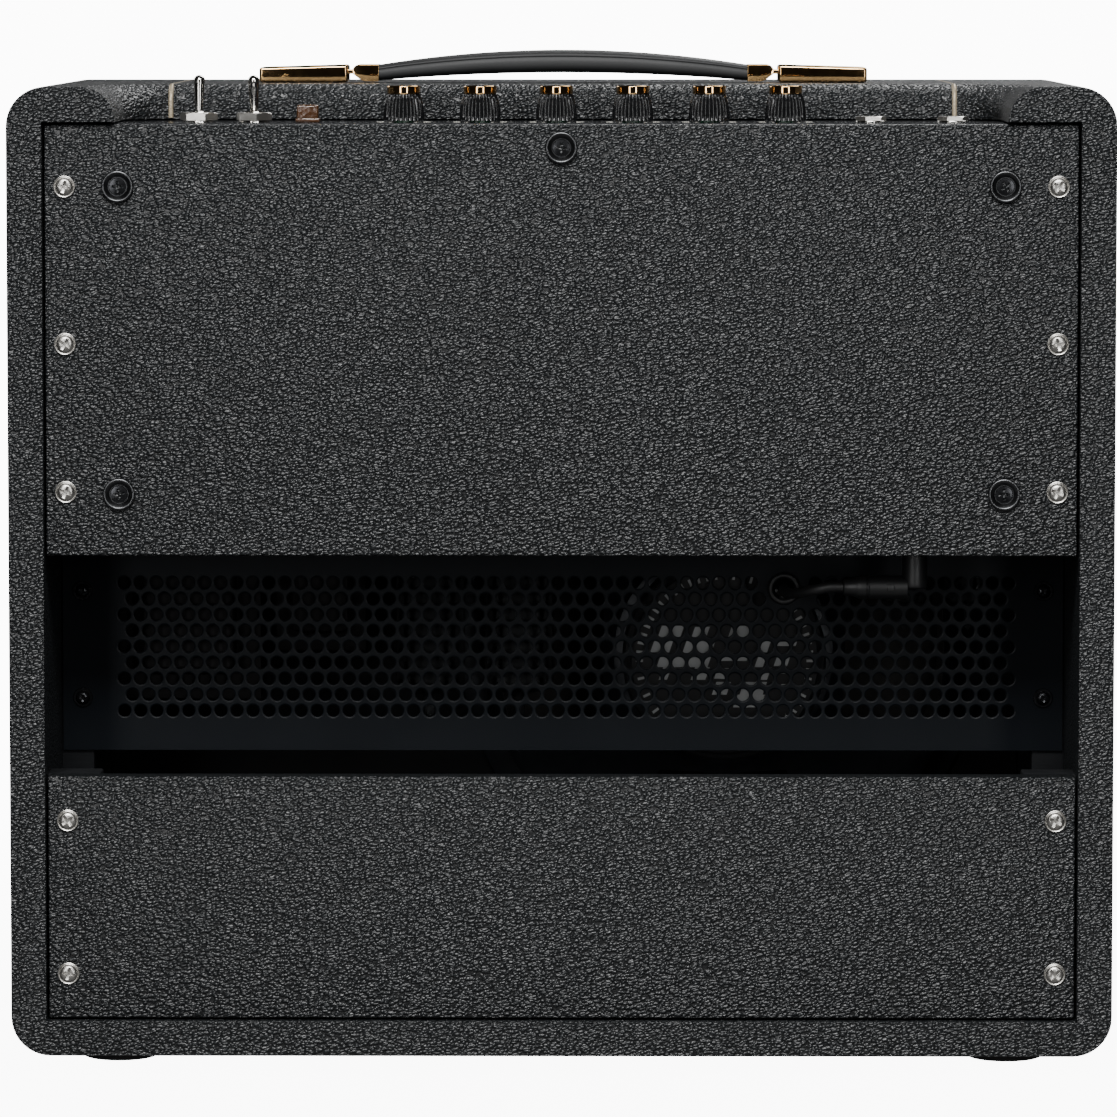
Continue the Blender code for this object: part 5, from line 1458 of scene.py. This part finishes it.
def add_fold(bm):
    """The guard's lower edge, turned forwards round a small bend."""
    thick, turn = GUARD_SHEET, 0.0022
    y, z = GUARD_FACE_Y - turn, GUARD_LOW.z + turn
    outer = arc((y, z), turn, 0, -90, 6)
    inner = arc((y, z), turn - thick * 0.98, -90, 0, 6)
    end = GUARD_FACE_Y - 0.0115
    outline = outer + [(end, GUARD_LOW.z), (end, GUARD_LOW.z + thick)] + inner
    half = INNER_X - GUARD_BATTEN - 0.002
    add_prism(bm, outline, -half, half, "X")


# --- loudspeaker ------------------------------------------------------------------------------
def make_speaker():
    low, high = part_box("speaker_frame")
    x, z = middle("speaker_cone").x, middle("speaker_cone").z
    y = low.y
    rim, depth, neck = (high.x - low.x) / 2, high.y - low.y, 0.052
    outline = bmesh.new()
    profile = [(0.025, depth), (neck - 0.003, depth), (neck, depth - 0.001),
               (neck + 0.0022, depth - 0.0045), (0.078, 0.034), (0.104, 0.0220), (0.1135, 0.0185),
               (0.1150, 0.0165), (0.1152, 0.0048), (0.1160, 0.0036), (rim - 0.001, 0.0035),
               (rim, 0.0028), (rim, 0.0), (0.1120, 0.0), (0.1120, 0.0162), (0.1020, 0.0200),
               (0.0765, 0.0322), (neck - 0.001, depth - 0.0050), (0.025, depth - 0.0016),
               (0.025, depth)]
    add_turned(outline, profile, (x, y, z), "+Y", 96)
    bmesh.ops.remove_doubles(outline, verts=outline.verts, dist=MELT)
    tools = []
    for quarter in range(4):
        window = bmesh.new()
        points = [(0.057, -0.030), (0.066, -0.036), (0.098, -0.052), (0.101, -0.046),
                  (0.106, -0.020), (0.107, 0.0), (0.106, 0.020), (0.101, 0.046),
                  (0.098, 0.052), (0.066, 0.036), (0.057, 0.030)]
        add_prism(window, points, 0.012, 0.056)
        spin = Matrix.Translation((x, y, z)) @ Matrix.Rotation(math.pi / 2 * quarter, 4, "Y")
        bmesh.ops.transform(window, matrix=spin, verts=window.verts)
        tools.append(window)
    mesh = carved("basket", outline, tools)
    bm = bmesh.new()
    bm.from_mesh(mesh)
    lead_end = lead_path()[-1]
    add_block(bm, (lead_end.x - 0.006, lead_end.y - 0.0240, lead_end.z - 0.0045),
              (lead_end.x + 0.006, lead_end.y - TINY, lead_end.z + 0.0045), 0.0006, 2)
    piece("speaker_basket", to_mesh(bm, "speaker_basket", 35.0), "basket",
          stands_for=("speaker_frame",))
    make_magnet(x, z)
    make_cone(x, y, z)
    bolts = [(x + 0.1205 * math.cos(a), y + 0.0036, z + 0.1205 * math.sin(a))
             for a in (math.radians(45 * i + 22.5) for i in range(8))]
    copies("speaker_bolts", guard_screw(), bolts, "dark_screw", "black_steel", turn_y=1.0, seed=21)


def make_magnet(x, z):
    low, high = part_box("speaker_magnet")
    radius, depth = (high.x - low.x) / 2, high.y - low.y
    bm = bmesh.new()
    profile = [(0.0, depth - 0.0002), (radius * 0.90, depth - 0.0002)]
    profile += [(radius * 0.90 + a, depth - 0.0014 + b) for a, b in arc((0, 0), 0.0012, 80, 0, 4)]
    profile += [(radius * 0.925, depth - 0.0055), (radius - 0.0012, depth - 0.0060),
                (radius, depth - 0.0072), (radius, 0.0078), (radius - 0.0012, 0.0065),
                (radius * 0.93, 0.0060), (radius * 0.93, 0.0004), (0.0200, 0.0004),
                (0.0200, 0.0200), (0.0170, 0.0200), (0.0170, 0.0), (0, 0.0)]
    add_turned(bm, profile, (x, low.y, z), "+Y", 96)
    piece("speaker_motor", to_mesh(bm, "speaker_motor", 30.0), "ferrite",
          stands_for=("speaker_magnet",))
    face = high.y - 0.0002
    card = bmesh.new()
    add_turned(card, [(0, LABEL_CARD), (radius * 0.88, LABEL_CARD), (radius * 0.89, 0.0), (0, 0.0)],
               (x, face, z), "+Y", 96)
    piece("label_card", to_mesh(card, "label_card"), "label_dark")
    bars = bmesh.new()
    for step in range(60):
        tick = bmesh.new()
        add_block(tick, (radius * 0.80, 0.00008, -0.0006), (radius * 0.87, 0.00018, 0.0006))
        spin = Matrix.Translation((x, face, z)) @ Matrix.Rotation(math.tau * step / 60, 4, "Y")
        mesh = bpy.data.meshes.new("tick")
        bmesh.ops.transform(tick, matrix=spin, verts=tick.verts)
        tick.to_mesh(mesh)
        tick.free()
        bars.from_mesh(mesh)
    shapes = ((-32, 13, -19, 7), (-16, 13, -7, 6), (1, 13, 13, 7), (-35, 7, -24, 6),
              (-20, 7, -4, 7), (16, 7, 22, 6), (24, 8, 34, 2), (-32, 0, -6, 6), (-4, 1, 11, 2),
              (14, 0, 20, 6), (23, 0, 31, 5), (-31, -6, -25, 6), (-16, -6, -7, 6), (-5, -6, 2, 5),
              (16, -6, 22, 6), (24, -5, 34, 2), (-6, -13, 3, 6), (7, -13, 20, 6),
              (26, -12, 32, 2), (4, -19, 19, 6))
    for left, up, right, tall in shapes:
        slant = tall * 0.35
        points = [(left, up - tall / 2), (right - slant, up - tall / 2),
                  (right, up + tall / 2), (left + slant, up + tall / 2)]
        add_prism(bars, [(x - a / 1000, z + b / 1000) for a, b in points],
                  face + 0.00008, face + 0.00018)
    bmesh.ops.remove_doubles(bars, verts=bars.verts, dist=0.000001)
    piece("label_bars", to_mesh(bars, "label_bars"), "label")


def make_cone(x, y, z):
    bm = bmesh.new()
    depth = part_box("speaker_cone")[1].y - y
    throat = depth - 0.028
    profile = [(0, throat - 0.0125)]
    profile += [(0.0185 * math.sin(a), throat - 0.0125 + 0.011 * (1 - math.cos(a)))
                for a in (0.35, 0.7, 1.05, 1.4)]
    cone = [(0.0195 + (0.098 - 0.0195) * t, throat - 0.002 - (throat - 0.012) * t ** 0.85)
            for t in (0.0, 0.1, 0.2, 0.35, 0.5, 0.65, 0.8, 0.9, 1.0)]
    front = list(reversed(profile + cone))
    waves = [(0.1108 - 0.0128 * t, 0.0082 + 0.0016 * math.sin(t * math.tau * 1.5))
             for t in (0.0, 0.12, 0.25, 0.38, 0.5, 0.62, 0.75, 0.88)]
    back = [(radius, height + 0.0011) for radius, height in reversed(waves + front)]
    add_turned(bm, back + waves + front, (x, y, z), "+Y", 72)
    coil = [(0.0190, depth - 0.001), (0.0190, throat), (0.0180, throat), (0.0180, depth - 0.001),
            (0.0190, depth - 0.001)]
    add_turned(bm, coil, (x, y, z), "+Y", 48)
    bmesh.ops.remove_doubles(bm, verts=bm.verts, dist=MELT)
    bmesh.ops.recalc_face_normals(bm, faces=bm.faces)
    piece("cone_and_surround", to_mesh(bm, "cone_and_surround", 40.0), "paper",
          "speaker_cone", ("speaker_cone",))


# --- speaker lead -----------------------------------------------------------------------------
# The lead's own points, from the side wall at -X, the guard's face and the chassis bottom.
LEAD_ROUTE = (
    (0.1052, 0.0490, -0.0190), (0.1110, 0.0490, -0.0190), (0.1180, 0.0470, -0.0205),
    (0.1240, 0.0410, -0.0222), (0.1280, 0.0320, -0.0235), (0.1302, 0.0210, -0.0242),
    (0.1308, 0.0100, -0.0243), (0.1308, -0.0010, -0.0243), (0.1290, -0.0080, -0.0235),
    (0.1230, -0.0125, -0.0205), (0.1150, -0.0160, -0.0180), (0.1085, -0.0230, -0.0175),
    (0.1074, -0.0320, -0.0190), (0.1078, -0.0400, -0.0205), (0.1078, -0.0480, -0.0205),
)


def lead_path(steps=90):
    knots = [Vector((-(INNER_X - wall), GUARD_FACE_Y + back, CHASSIS_BOTTOM + up))
             for wall, back, up in LEAD_ROUTE]
    knots = [2 * knots[0] - knots[1]] + knots + [2 * knots[-1] - knots[-2]]
    spans = len(knots) - 3
    points = []
    for i in range(steps + 1):
        along = spans * i / steps
        span = min(int(along), spans - 1)
        t = along - span
        a, b, c, d = knots[span:span + 4]
        points.append(0.5 * (2 * b + (c - a) * t + (2 * a - 5 * b + 4 * c - d) * t * t
                             + (3 * b - a - 3 * c + d) * t ** 3))
    return points


def make_lead():
    piece("lead_cable", tube("lead_cable", lead_path(), 0.0025, sides=6), "lead",
          stands_for=("speaker_lead",))
    radius, length = 0.00575, 0.0170
    head_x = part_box("speaker_plug")[0].x + radius
    jack_face = CHASSIS_BOTTOM - 0.0022
    bm = bmesh.new()
    head = [(0, 0), (radius * 0.80, 0), (radius * 0.97, -0.0008), (radius, -0.0016)]
    head += [(radius, -length + 0.0024)]
    head += [(radius - 0.0014 + a, -length + 0.0014 + b) for a, b in arc((0, 0), 0.0014, 0, -90, 4)]
    head += [(0, -length)]
    add_turned(bm, head, (head_x, CONTROL_Y, jack_face - 0.0003), "+Z", 40)
    start = lead_path()[0]
    run = start.x - TINY - head_x
    barrel = [(0, run), (0.0034, run), (0.0040, run - 0.0008), (0.0043, run - 0.0045),
              (0.0050, run - 0.0062), (0.0053, run - 0.0070), (0.0053, run - 0.0104),
              (0.0049, run - 0.0108), (0.0049, run - 0.0114), (0.0053, run - 0.0118),
              (0.00535, 0.0035), (0, 0.0035)]
    add_turned(bm, barrel, (head_x, start.y, start.z), "+X", 40)
    add_block(bm, (head_x + 0.0095, start.y + 0.0046, start.z - 0.0016),
              (head_x + 0.0128, start.y + 0.0058, start.z + 0.0016), 0.0004, 2)
    piece("right_angle_plug", to_mesh(bm, "right_angle_plug", 40.0), "plug",
          stands_for=("speaker_plug",))
    pin = bmesh.new()
    add_turned(pin, [(0, 0.0300), (0.0012, 0.0292), (0.0030, 0.0260), (0.0022, 0.0235),
                     (0.0031, 0.0215), (0.0031, -0.001), (0, -0.001)],
               (head_x, CONTROL_Y, jack_face - 0.0008), "+Z", 24)
    piece("plug_pin", to_mesh(pin, "plug_pin"), "nickel")


def make_output_jacks():
    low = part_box("output_jacks")[0]
    dress("output_jacks", "plug")
    insets = (0.0724, 0.1010, 0.1231, 0.1553)
    places = [(-(INNER_X - inset), CONTROL_Y, low.z + 0.0006) for inset in insets]
    copies("output_washers", washer_mesh(0.0051, 0.0078, 0.0009), places, "copper",
           "moulded_black")
    rims = [(x, y, low.z - 0.0002) for x, y, _ in places]
    copies("output_collars", washer_mesh(0.0034, 0.0050, 0.0009), rims, "copper", "moulded_black")


# --- front, feet and works --------------------------------------------------------------------
def make_front():
    dress("baffle_board", "paint")
    dress("grille_frame", "paint")
    low, high = CLOTH_LOW, CLOTH_HIGH
    bm = bmesh.new()
    bmesh.ops.create_grid(bm, x_segments=80, y_segments=70, size=0.5)
    half_x, half_z = (high.x - low.x) / 2, (high.z - low.z) / 2
    centre_z = (high.z + low.z) / 2
    for vert in bm.verts:
        u, v = vert.co.x * 2, vert.co.y * 2
        vert.co = Vector((u * half_x, low.y + 0.0003, centre_z + v * half_z))
    bmesh.ops.recalc_face_normals(bm, faces=bm.faces)
    mesh = to_mesh(bm, "woven_cloth")
    cloth = piece("woven_cloth", mesh, "weave", stands_for=("grille_cloth",))
    wall = cloth.modifiers.new("thickness", "SOLIDIFY")
    wall.thickness = 0.0006
    wall.offset = 0.0
    bead = settings("cabinet").piping_radius * 1.5
    inset = 0.0045
    x, z0, z1 = half_x - inset, low.z + inset, high.z - inset
    corner = 0.006
    path = []
    for centre, start in (((x - corner, z1 - corner), 0), ((-x + corner, z1 - corner), 90),
                          ((-x + corner, z0 + corner), 180), ((x - corner, z0 + corner), 270)):
        path += [(a, low.y - bead * 0.4, b) for a, b in arc(centre, corner, start, start + 90, 8)]
    piece("grille_piping", tube("grille_piping", path, bead, closed=True, sides=4), "piping")


def make_feet():
    nodes = [node for node in sorted(frame["nodes"]) if node.startswith("foot_")]
    low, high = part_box(nodes[0])
    radius, height = (high.x - low.x) / 2, high.z - low.z
    bm = bmesh.new()
    profile = [(0, height), (radius * 0.86, height)]
    profile += [(radius - 0.0015 + a, height - 0.0020 + b) for a, b in
                arc((0, 0), 0.0015, 70, 0, 4)]
    profile += [(radius * 0.93, 0.0014), (radius * 0.90, 0.0003), (radius * 0.86, 0.0),
                (0.0065, 0.0), (0.0062, 0.0030), (0, 0.0030)]
    add_turned(bm, profile, (0, 0, 0), "+Z", 48)
    places = [(middle(node).x, middle(node).y, low.z) for node in nodes]
    copies("rubber_feet", to_mesh(bm, "foot", 35.0), places, "rubber", "black_rubber", nodes)
    head = bmesh.new()
    add_turned(head, [(0, 0.0002), (0.0045, 0.0002), (0.0050, -0.0008), (0.0030, -0.0016),
                      (0, -0.0018)], (0, 0, 0), "+Z", 24)
    spots = [(x, y, low.z + 0.0028) for x, y, _ in places]
    copies("foot_screws", to_mesh(head, "foot_screw"), spots, "nickel", "bright_nickel")


def make_works():
    """Finishes for the pieces inside, which keep their CAD shapes."""
    for node in sorted(frame["nodes"]):
        if node == "chassis_tray":
            dress(node, "zinc")
        elif node == "valve_board":
            dress(node, "board")
        elif node.endswith("_transformer"):
            dress(node, "core")
        elif "_valve_" in node:
            dress(node, "glass")
        elif node == "mains_inlet":
            dress(node, "plug")
    low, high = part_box("mains_inlet")
    x, y = (low.x + high.x) / 2, (low.y + high.y) / 2
    pins = bmesh.new()
    for across, back in ((-0.007, -0.002), (0.007, -0.002), (0.0, 0.003)):
        add_block(pins, (x + across - 0.001, y + back - 0.002, low.z + 0.004),
                  (x + across + 0.001, y + back + 0.002, low.z + 0.0185), 0.0004, 2)
    piece("inlet_pins", to_mesh(pins, "inlet_pins"), "nickel")


# --- studio -----------------------------------------------------------------------------------
def soft_light(name, place, aim, extent, power):
    lamp = bpy.data.lights.new(name, "AREA")
    lamp.shape = "RECTANGLE"
    lamp.size, lamp.size_y = extent
    lamp.energy = power
    obj = linked(name, lamp)
    obj.location = place
    obj.rotation_euler = (Vector(aim) - Vector(place)).to_track_quat("-Z", "Y").to_euler()


def make_world():
    """A pale room behind the front of the cabinet and a dark one behind the camera."""
    world = bpy.data.worlds.new("studio")
    world.use_nodes = True
    tree = Tree(world.node_tree)
    towards = tree.node("ShaderNodeSeparateXYZ", values={
        0: tree.node("ShaderNodeTexCoord", output="Generated")}, output="Y")
    glow = tree.node("ShaderNodeMapRange", {"interpolation_type": "SMOOTHSTEP"}, {
        "Value": towards, "From Min": 0.10, "From Max": -0.80, "To Min": 0.012, "To Max": 0.07})
    seen = tree.node("ShaderNodeLightPath", output="Is Camera Ray")
    strength = glow * (1.0 - seen) + seen * 12.0
    shell = world.node_tree.nodes["Background"]
    tree.feed(shell.inputs["Color"], (1.0, 1.0, 1.0))
    tree.feed(shell.inputs["Strength"], strength)
    bpy.context.scene.world = world


def make_stage():
    studio = settings("studio")
    bm = bmesh.new()
    bmesh.ops.create_grid(bm, x_segments=8, y_segments=8, size=6.0)
    floor = linked("studio_floor", to_mesh(bm, "studio_floor"))
    floor.data.materials.append(finish("floor"))
    make_world()
    centre = (0.0, 0.0, (BOTTOM_Z + TOP_Z) / 2)
    power = studio.key_power
    soft_light("overhead", (0.10, 2.10, 2.25), centre, (1.6, 0.9), power)
    soft_light("key", (0.98, 2.50, 0.78), centre, (0.36, 1.6), power * 0.145)
    soft_light("fill", (-1.05, 2.50, 0.78), centre, (0.30, 1.6), power * 0.135)
    soft_light("front", (-0.9, -1.9, 2.5), centre, (1.2, 1.2), 60.0)
    soft_light("front_fill", (1.9, -1.9, 1.3), centre, (1.0, 1.0), 18.0)
    data = bpy.data.cameras.new("studio_camera")
    camera = linked("studio_camera", data)
    turn = math.atan2(studio.aside, studio.distance)
    camera.location = (studio.aside, REAR_Y + studio.distance, TOP_Z + studio.eye_rise)
    camera.rotation_euler = (math.pi / 2 - studio.tilt, 0.0, math.pi - turn)
    data.sensor_width = 36.0
    data.lens = data.sensor_width * studio.distance / studio.frame_width
    data.shift_x, data.shift_y = studio.shift_x, -0.10
    data.clip_start, data.clip_end = 0.05, 60.0
    bpy.context.scene.camera = camera


# --- operators --------------------------------------------------------------------------------
class PieceOperator(bpy.types.Operator):
    """Base for the operators that each make one group of pieces"""
    bl_options = {"REGISTER", "UNDO"}


class COMBO_OT_stage(PieceOperator):
    """Make the camera, the lights and the floor"""
    bl_idname = "combo.stage"
    bl_label = "Stage"

    def execute(self, context):
        make_stage()
        return {"FINISHED"}


class COMBO_OT_cabinet(PieceOperator):
    """Make the covered cabinet, its battens, back panels and gold piping"""
    bl_idname = "combo.cabinet"
    bl_label = "Cabinet"

    def execute(self, context):
        make_cabinet()
        return {"FINISHED"}


class COMBO_OT_screws(PieceOperator):
    """Make the screws and cup washers of the back panels"""
    bl_idname = "combo.screws"
    bl_label = "Panel screws"

    def execute(self, context):
        make_screws()
        return {"FINISHED"}


class COMBO_OT_controls(PieceOperator):
    """Make the knobs, switches, lamp, jack nuts and dial print"""
    bl_idname = "combo.controls"
    bl_label = "Controls"

    def execute(self, context):
        make_control_panel()
        make_knobs()
        make_switches()
        make_jack_nuts()
        make_lamp()
        make_dials()
        return {"FINISHED"}


class COMBO_OT_handle(PieceOperator):
    """Make the strap handle with its ferrules and end caps"""
    bl_idname = "combo.handle"
    bl_label = "Handle"

    def execute(self, context):
        make_handle()
        return {"FINISHED"}


class COMBO_OT_guard(PieceOperator):
    """Make the perforated valve guard, its screws and its grommet"""
    bl_idname = "combo.guard"
    bl_label = "Valve guard"

    def execute(self, context):
        make_guard()
        return {"FINISHED"}


class COMBO_OT_speaker(PieceOperator):
    """Make the loudspeaker's basket, motor and cone"""
    bl_idname = "combo.speaker"
    bl_label = "Loudspeaker"

    def execute(self, context):
        make_speaker()
        return {"FINISHED"}


class COMBO_OT_lead(PieceOperator):
    """Make the speaker lead, its plug and the output jacks' washers"""
    bl_idname = "combo.lead"
    bl_label = "Speaker lead"

    def execute(self, context):
        make_lead()
        make_output_jacks()
        return {"FINISHED"}


class COMBO_OT_front(PieceOperator):
    """Make the grille cloth with its piping"""
    bl_idname = "combo.front"
    bl_label = "Front"

    def execute(self, context):
        make_front()
        return {"FINISHED"}


class COMBO_OT_feet(PieceOperator):
    """Make the four rubber feet"""
    bl_idname = "combo.feet"
    bl_label = "Feet"

    def execute(self, context):
        make_feet()
        return {"FINISHED"}


class COMBO_OT_works(PieceOperator):
    """Finish the chassis, boards, transformers, valves and mains inlet"""
    bl_idname = "combo.works"
    bl_label = "Works"

    def execute(self, context):
        make_works()
        return {"FINISHED"}


OPERATORS = (COMBO_OT_stage, COMBO_OT_cabinet, COMBO_OT_screws, COMBO_OT_controls,
             COMBO_OT_handle, COMBO_OT_guard, COMBO_OT_speaker, COMBO_OT_lead, COMBO_OT_front,
             COMBO_OT_feet, COMBO_OT_works)


class COMBO_PT_panel(bpy.types.Panel):
    """Lists the operators and the settings of the amplifier's pieces"""
    bl_idname = "COMBO_PT_panel"
    bl_label = "Combo amplifier"
    bl_space_type = "VIEW_3D"
    bl_region_type = "UI"
    bl_category = "Combo amplifier"

    def draw(self, context):
        for kind in KINDS:
            group = settings(kind)
            box = self.layout.box()
            box.label(text=kind.title())
            for name in group.bl_rna.properties.keys():
                if name not in ("rna_type", "name"):
                    box.prop(group, name)
        for operator in OPERATORS:
            self.layout.operator(operator.bl_idname)


KINDS = ("cabinet", "controls", "guard", "handle", "studio")
CLASSES = SETTINGS + OPERATORS + (COMBO_PT_panel,)


def register():
    for cls in CLASSES:
        bpy.utils.register_class(cls)
    for kind, cls in zip(KINDS, SETTINGS):
        setattr(bpy.types.Scene, "combo_" + kind, PointerProperty(type=cls))


def unregister():
    for kind in KINDS:
        delattr(bpy.types.Scene, "combo_" + kind)
    for cls in reversed(CLASSES):
        bpy.utils.unregister_class(cls)


def main():
    register()
    for operator in OPERATORS:
        group, name = operator.bl_idname.split(".")
        getattr(getattr(bpy.ops, group), name)()


if __name__ == "__main__":
    main()
